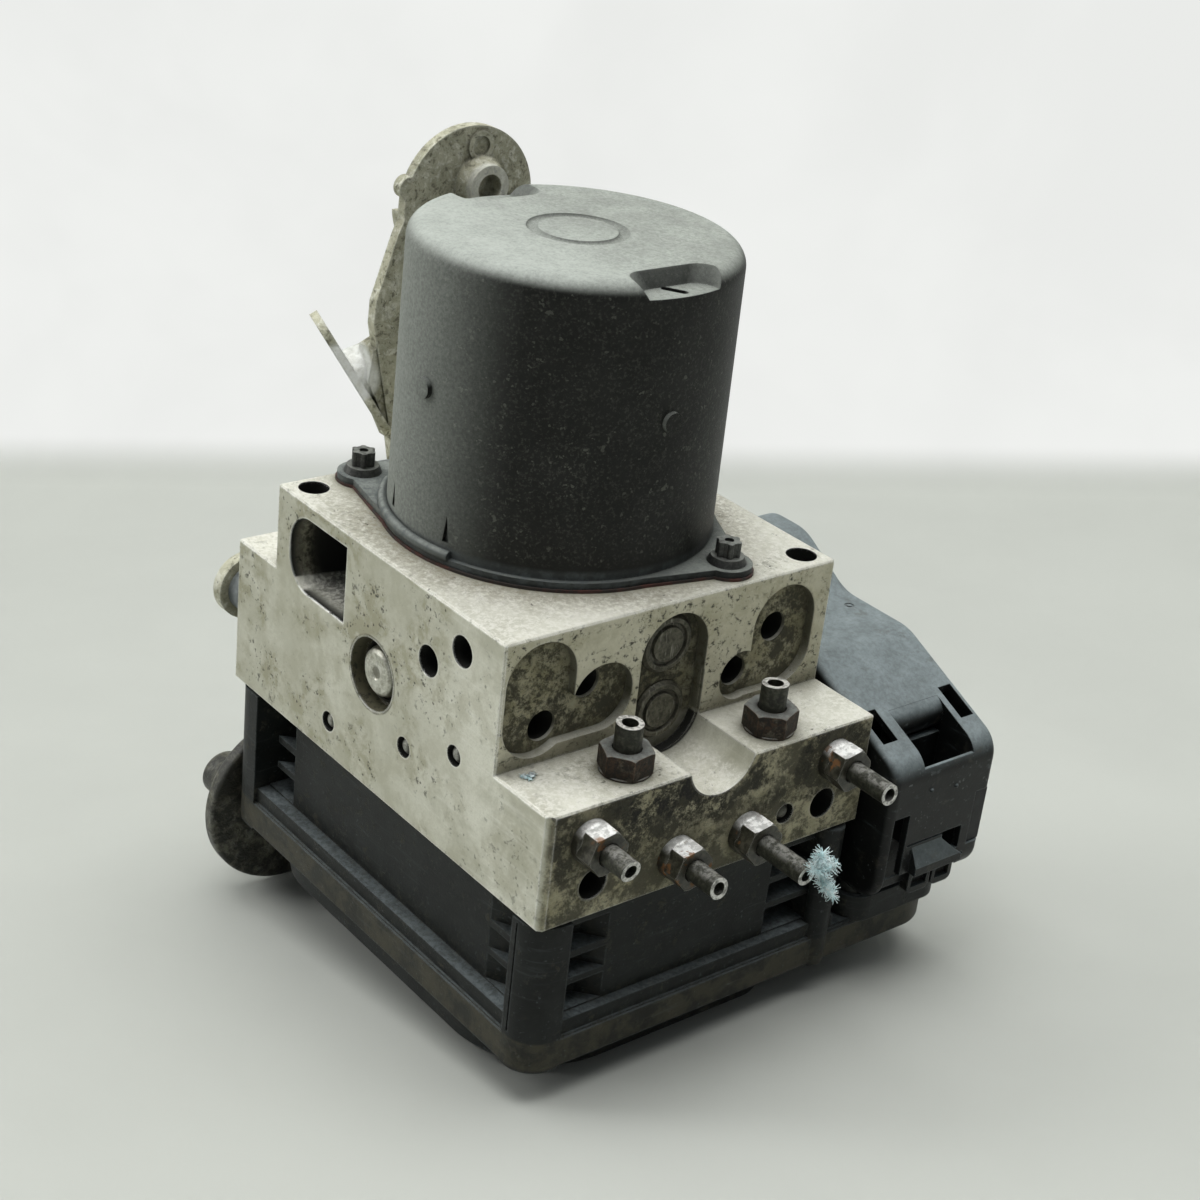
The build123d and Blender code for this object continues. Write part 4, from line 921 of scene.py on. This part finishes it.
# Fibres stand on a lumpy core, each a short curled strand with a thin three-sided section.
def fibreTree():
    tree = newGroup("tuftFibres", (
        ("Geometry", "NodeSocketGeometry"),
        ("Density", "NodeSocketFloat"),
        ("Length", "NodeSocketFloat"),
        ("Thickness", "NodeSocketFloat"),
        ("Curl", "NodeSocketFloat"),
        ("Seed", "NodeSocketInt"),
        ("Cloth", "NodeSocketMaterial"),
    ))
    given = tree.nodes.new("NodeGroupInput").outputs
    result = tree.nodes.new("NodeGroupOutput")
    scatter = wire(tree, "GeometryNodeDistributePointsOnFaces", {
        "Mesh": given["Geometry"], "Density": given["Density"], "Seed": given["Seed"],
    })
    strand = wire(tree, "GeometryNodeCurvePrimitiveLine", {"Length": given["Length"]}, mode="DIRECTION")
    strand = wire(tree, "GeometryNodeResampleCurve", {"Curve": strand.outputs[0], "Count": 7})
    spin = wire(tree, "FunctionNodeRandomValue", {
        "Min": (-0.7, -0.7, -3.1), "Max": (0.7, 0.7, 3.1), "Seed": given["Seed"],
    }, data_type="FLOAT_VECTOR")
    tilt = wire(tree, "FunctionNodeRotateEuler", {
        "Rotation": scatter.outputs["Rotation"], "Rotate By": spin.outputs[0],
    }, space="LOCAL", rotation_type="EULER")
    size = wire(tree, "FunctionNodeRandomValue", {2: 0.2, 3: 1.2, "Seed": 3}, data_type="FLOAT")
    strands = wire(tree, "GeometryNodeInstanceOnPoints", {
        "Points": scatter.outputs["Points"], "Instance": strand.outputs[0],
        "Rotation": tilt.outputs[0], "Scale": size.outputs[1],
    })
    strands = wire(tree, "GeometryNodeRealizeInstances", {"Geometry": strands.outputs[0]})
    # Each point is pushed aside by a noise, more and more towards the strand's tip.
    along = wire(tree, "GeometryNodeSplineParameter", {})
    waves = wire(tree, "ShaderNodeTexNoise", {"Scale": 420.0, "Detail": 1.0})
    centred = wire(tree, "ShaderNodeVectorMath", {
        0: waves.outputs["Color"], 1: (0.5, 0.5, 0.5),
    }, operation="SUBTRACT")
    amount = wire(tree, "ShaderNodeMath", {
        0: given["Curl"], 1: along.outputs["Factor"],
    }, operation="MULTIPLY")
    shift = wire(tree, "ShaderNodeVectorMath", {
        0: centred.outputs[0], "Scale": amount.outputs[0],
    }, operation="SCALE")
    curled = wire(tree, "GeometryNodeSetPosition", {
        "Geometry": strands.outputs[0], "Offset": shift.outputs[0],
    })
    section = wire(tree, "GeometryNodeCurvePrimitiveCircle", {"Resolution": 3, "Radius": given["Thickness"]})
    fibres = wire(tree, "GeometryNodeCurveToMesh", {
        "Curve": curled.outputs[0], "Profile Curve": section.outputs[0], "Fill Caps": True,
    })
    joined = tree.nodes.new("GeometryNodeJoinGeometry")
    tree.links.new(given["Geometry"], joined.inputs[0])
    tree.links.new(fibres.outputs[0], joined.inputs[0])
    realized = wire(tree, "GeometryNodeRealizeInstances", {"Geometry": joined.outputs[0]})
    painted = wire(tree, "GeometryNodeSetMaterial", {
        "Geometry": realized.outputs[0], "Material": given["Cloth"],
    })
    tree.links.new(painted.outputs[0], result.inputs[0])
    return tree


# Runs a tree on a mesh and returns the plain mesh that comes out.
def grow(name, mesh, tree, values):
    holder = bpy.data.objects.new(name, mesh)
    bpy.context.scene.collection.objects.link(holder)
    modifier = holder.modifiers.new(name, "NODES")
    modifier.node_group = tree
    for item in tree.interface.items_tree:
        if item.item_type == "SOCKET" and item.in_out == "INPUT" and item.name in values:
            modifier[item.identifier] = values[item.name]
    graph = bpy.context.evaluated_depsgraph_get()
    result = bpy.data.meshes.new_from_object(holder.evaluated_get(graph))
    bpy.data.objects.remove(holder)
    return result


def lumpyCore(look):
    core = bmesh.new()
    for lump in look["lumps"]:
        made = bmesh.ops.create_icosphere(core, subdivisions=3, radius=1.0)["verts"]
        turn = Matrix.Rotation(math.radians(lump["lean"]), 4, "Y")
        size = Matrix.Diagonal((*[0.001 * r for r in lump["radii"]], 1))
        place = Matrix.Translation(metres(*lump["centre"])) @ turn @ size
        bmesh.ops.transform(core, matrix=place, verts=made)
        for vert in made:
            ripple = math.sin(vert.co.x * 2600) * math.cos(vert.co.z * 1900) + math.sin(vert.co.y * 2300)
            vert.co += vert.normal * 0.00018 * ripple
    mesh = bpy.data.meshes.new(look["node"] + "_core")
    core.to_mesh(mesh)
    core.free()
    return mesh


def lint(look, tree):
    core = lumpyCore(look)
    area = sum(polygon.area for polygon in core.polygons)
    mesh = grow(look["node"] + "_lint", core, tree, {
        "Density": look["fibres"] / area,
        "Length": look["length"] * 0.001,
        "Thickness": look["thickness"] * 0.001,
        "Curl": look["curl"] * 0.001,
        "Seed": look["seed"],
        "Cloth": finishes["rag_scrap"],
    })
    low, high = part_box(look["node"])
    for vertex in mesh.vertices:
        vertex.co = [min(max(vertex.co[i], low[i]), high[i]) for i in range(3)]
    piece = bpy.data.objects.new(look["node"] + "_lint", mesh)
    bpy.context.scene.collection.objects.link(piece)
    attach(piece, "module")
    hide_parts(look["node"])
    print(look["node"], "made of", len(mesh.polygons), "faces")


fibres = fibreTree()
lint(tuftLook, fibres)
lint(scrapLook, fibres)


stageLook = {
    "floorColour": (0.485, 0.500, 0.468),
    "wallColour": (0.860, 0.872, 0.852),
    "footBack": (116.6, -71.0),
    "coverFront": (-12.3, -52.0),
    "wallDistance": 990.0,
    "bend": 40.0,
    "bendSteps": 12,
    "halfWidth": 4000.0,
    "wallHeight": 3000.0,
}

cameraLook = {
    "place": (-263.14, -332.249, 283.328),
    "right": (0.78286066, -0.61370209, 0.10246428),
    "up": (0.19930011, 0.40334404, 0.89308065),
    "lens": 65.52,
}

lampLook = {
    "world": 0.18,
    "skyColour": (0.92, 0.97, 1.0),
    "lampColour": (1.0, 1.0, 0.985),
    "window": {"power": 64.0, "size": (2.0, 1.7), "side": -2.0, "ahead": 0.75, "up": 1.25},
    "ceiling": {"power": 76.0, "size": (2.4, 2.4), "side": 0.1, "ahead": 0.15, "up": 2.0},
}


# The floor's normal, the way the camera looks along it, the way to the right, and a point on it.
def stageFrame():
    (backY, backZ), (frontY, frontZ) = stageLook["footBack"], stageLook["coverFront"]
    up = Vector((0, frontZ - backZ, backY - frontY)).normalized()
    rest = metres(0, backY, backZ)
    ahead = Vector(cameraLook["right"]).cross(up)
    ahead = -(ahead - up * ahead.dot(up)).normalized()
    return up, ahead, ahead.cross(up), rest


# One pale material: floor low down, wall above, where the camera sees its own even light.
def paleSurface():
    look = stageLook
    f = Finish("paleStage", Specular_IOR_Level=0.2)
    up, _, _, rest = stageFrame()
    height = f.add("ShaderNodeVectorMath", operation="DOT_PRODUCT")
    f.join(f.place, height.inputs[0])
    height.inputs[1].default_value = up
    ground = (rest * 1000 + holeMouth).dot(up)
    wall = f.rise(height.outputs["Value"], ground + 1.0, ground + 16.0)
    tone = f.blend(f.blot(160, 0.35, 0.65, 4, 0.6), (1.0, 1.0, 1.0), (0.95, 0.95, 0.95))
    colour = f.add("ShaderNodeMix", data_type="RGBA", blend_type="MULTIPLY")
    colour.inputs[0].default_value = 1.0
    f.join(f.blend(wall, look["floorColour"], look["wallColour"]), colour.inputs[6])
    f.join(tone, colour.inputs[7])
    seen = f.product(f.add("ShaderNodeLightPath").outputs["Is Camera Ray"], wall)
    f.set("Emission Color", colour.outputs[2])
    f.set("Emission Strength", seen)
    return f.finish(f.blend(seen, colour.outputs[2], (0, 0, 0)), 0.8)


def backdrop():
    up, ahead, across, rest = stageFrame()
    eye = metres(*cameraLook["place"])
    foot = eye - up * (eye - rest).dot(up)
    bend = stageLook["bend"] * 0.001
    reach = stageLook["wallDistance"] * 0.001
    halfWidth = stageLook["halfWidth"] * 0.001
    steps = stageLook["bendSteps"]
    profile = [(-halfWidth, 0.0), (reach - bend, 0.0)]
    for step in range(1, steps + 1):
        angle = math.pi / 2 * step / steps
        profile.append((reach - bend + bend * math.sin(angle), bend - bend * math.cos(angle)))
    profile.append((reach, stageLook["wallHeight"] * 0.001))
    points = []
    for side in (-halfWidth, halfWidth):
        points += [foot + ahead * along + up * rise + across * side for along, rise in profile]
    count = len(profile)
    faces = [(i, i + 1, count + i + 1, count + i) for i in range(count - 1)]
    mesh = bpy.data.meshes.new("backdrop")
    mesh.from_pydata(points, [], faces)
    mesh.materials.append(paleSurface())
    for polygon in mesh.polygons:
        polygon.use_smooth = True
    screen = bpy.data.objects.new("backdrop", mesh)
    bpy.context.scene.collection.objects.link(screen)


def softLamp(name, look, aim, frameAxes):
    up, ahead, across, _ = frameAxes
    lamp = bpy.data.lights.new(name, "AREA")
    lamp.shape = "RECTANGLE"
    lamp.size, lamp.size_y = look["size"]
    lamp.energy = look["power"]
    lamp.color = lampLook["lampColour"]
    holder = bpy.data.objects.new(name, lamp)
    bpy.context.scene.collection.objects.link(holder)
    holder.location = aim + across * look["side"] + ahead * look["ahead"] + up * look["up"]
    holder.rotation_mode = "QUATERNION"
    holder.rotation_quaternion = (aim - holder.location).to_track_quat("-Z", "Y")


def lights():
    world = bpy.data.worlds.new("studio")
    bpy.context.scene.world = world
    world.use_nodes = True
    background = world.node_tree.nodes["Background"]
    background.inputs[0].default_value = (*lampLook["skyColour"], 1)
    background.inputs[1].default_value = lampLook["world"]
    axes = stageFrame()
    aim = metres(50, 50, 30)
    softLamp("window", lampLook["window"], aim, axes)
    softLamp("ceiling", lampLook["ceiling"], aim, axes)


def camera():
    right, up = Vector(cameraLook["right"]), Vector(cameraLook["up"])
    back = right.cross(up)
    spot = metres(*cameraLook["place"])
    lens = bpy.data.cameras.new("camera")
    lens.lens = cameraLook["lens"]
    lens.sensor_width = 36
    lens.clip_start, lens.clip_end = 0.01, 50
    holder = bpy.data.objects.new("camera", lens)
    bpy.context.scene.collection.objects.link(holder)
    rows = [(right[i], up[i], back[i], spot[i]) for i in range(3)]
    holder.matrix_world = Matrix((*rows, (0, 0, 0, 1)))
    bpy.context.scene.camera = holder


backdrop()
lights()
camera()
bpy.context.scene.view_settings.view_transform = "Standard"
print("stage, lights and camera set")
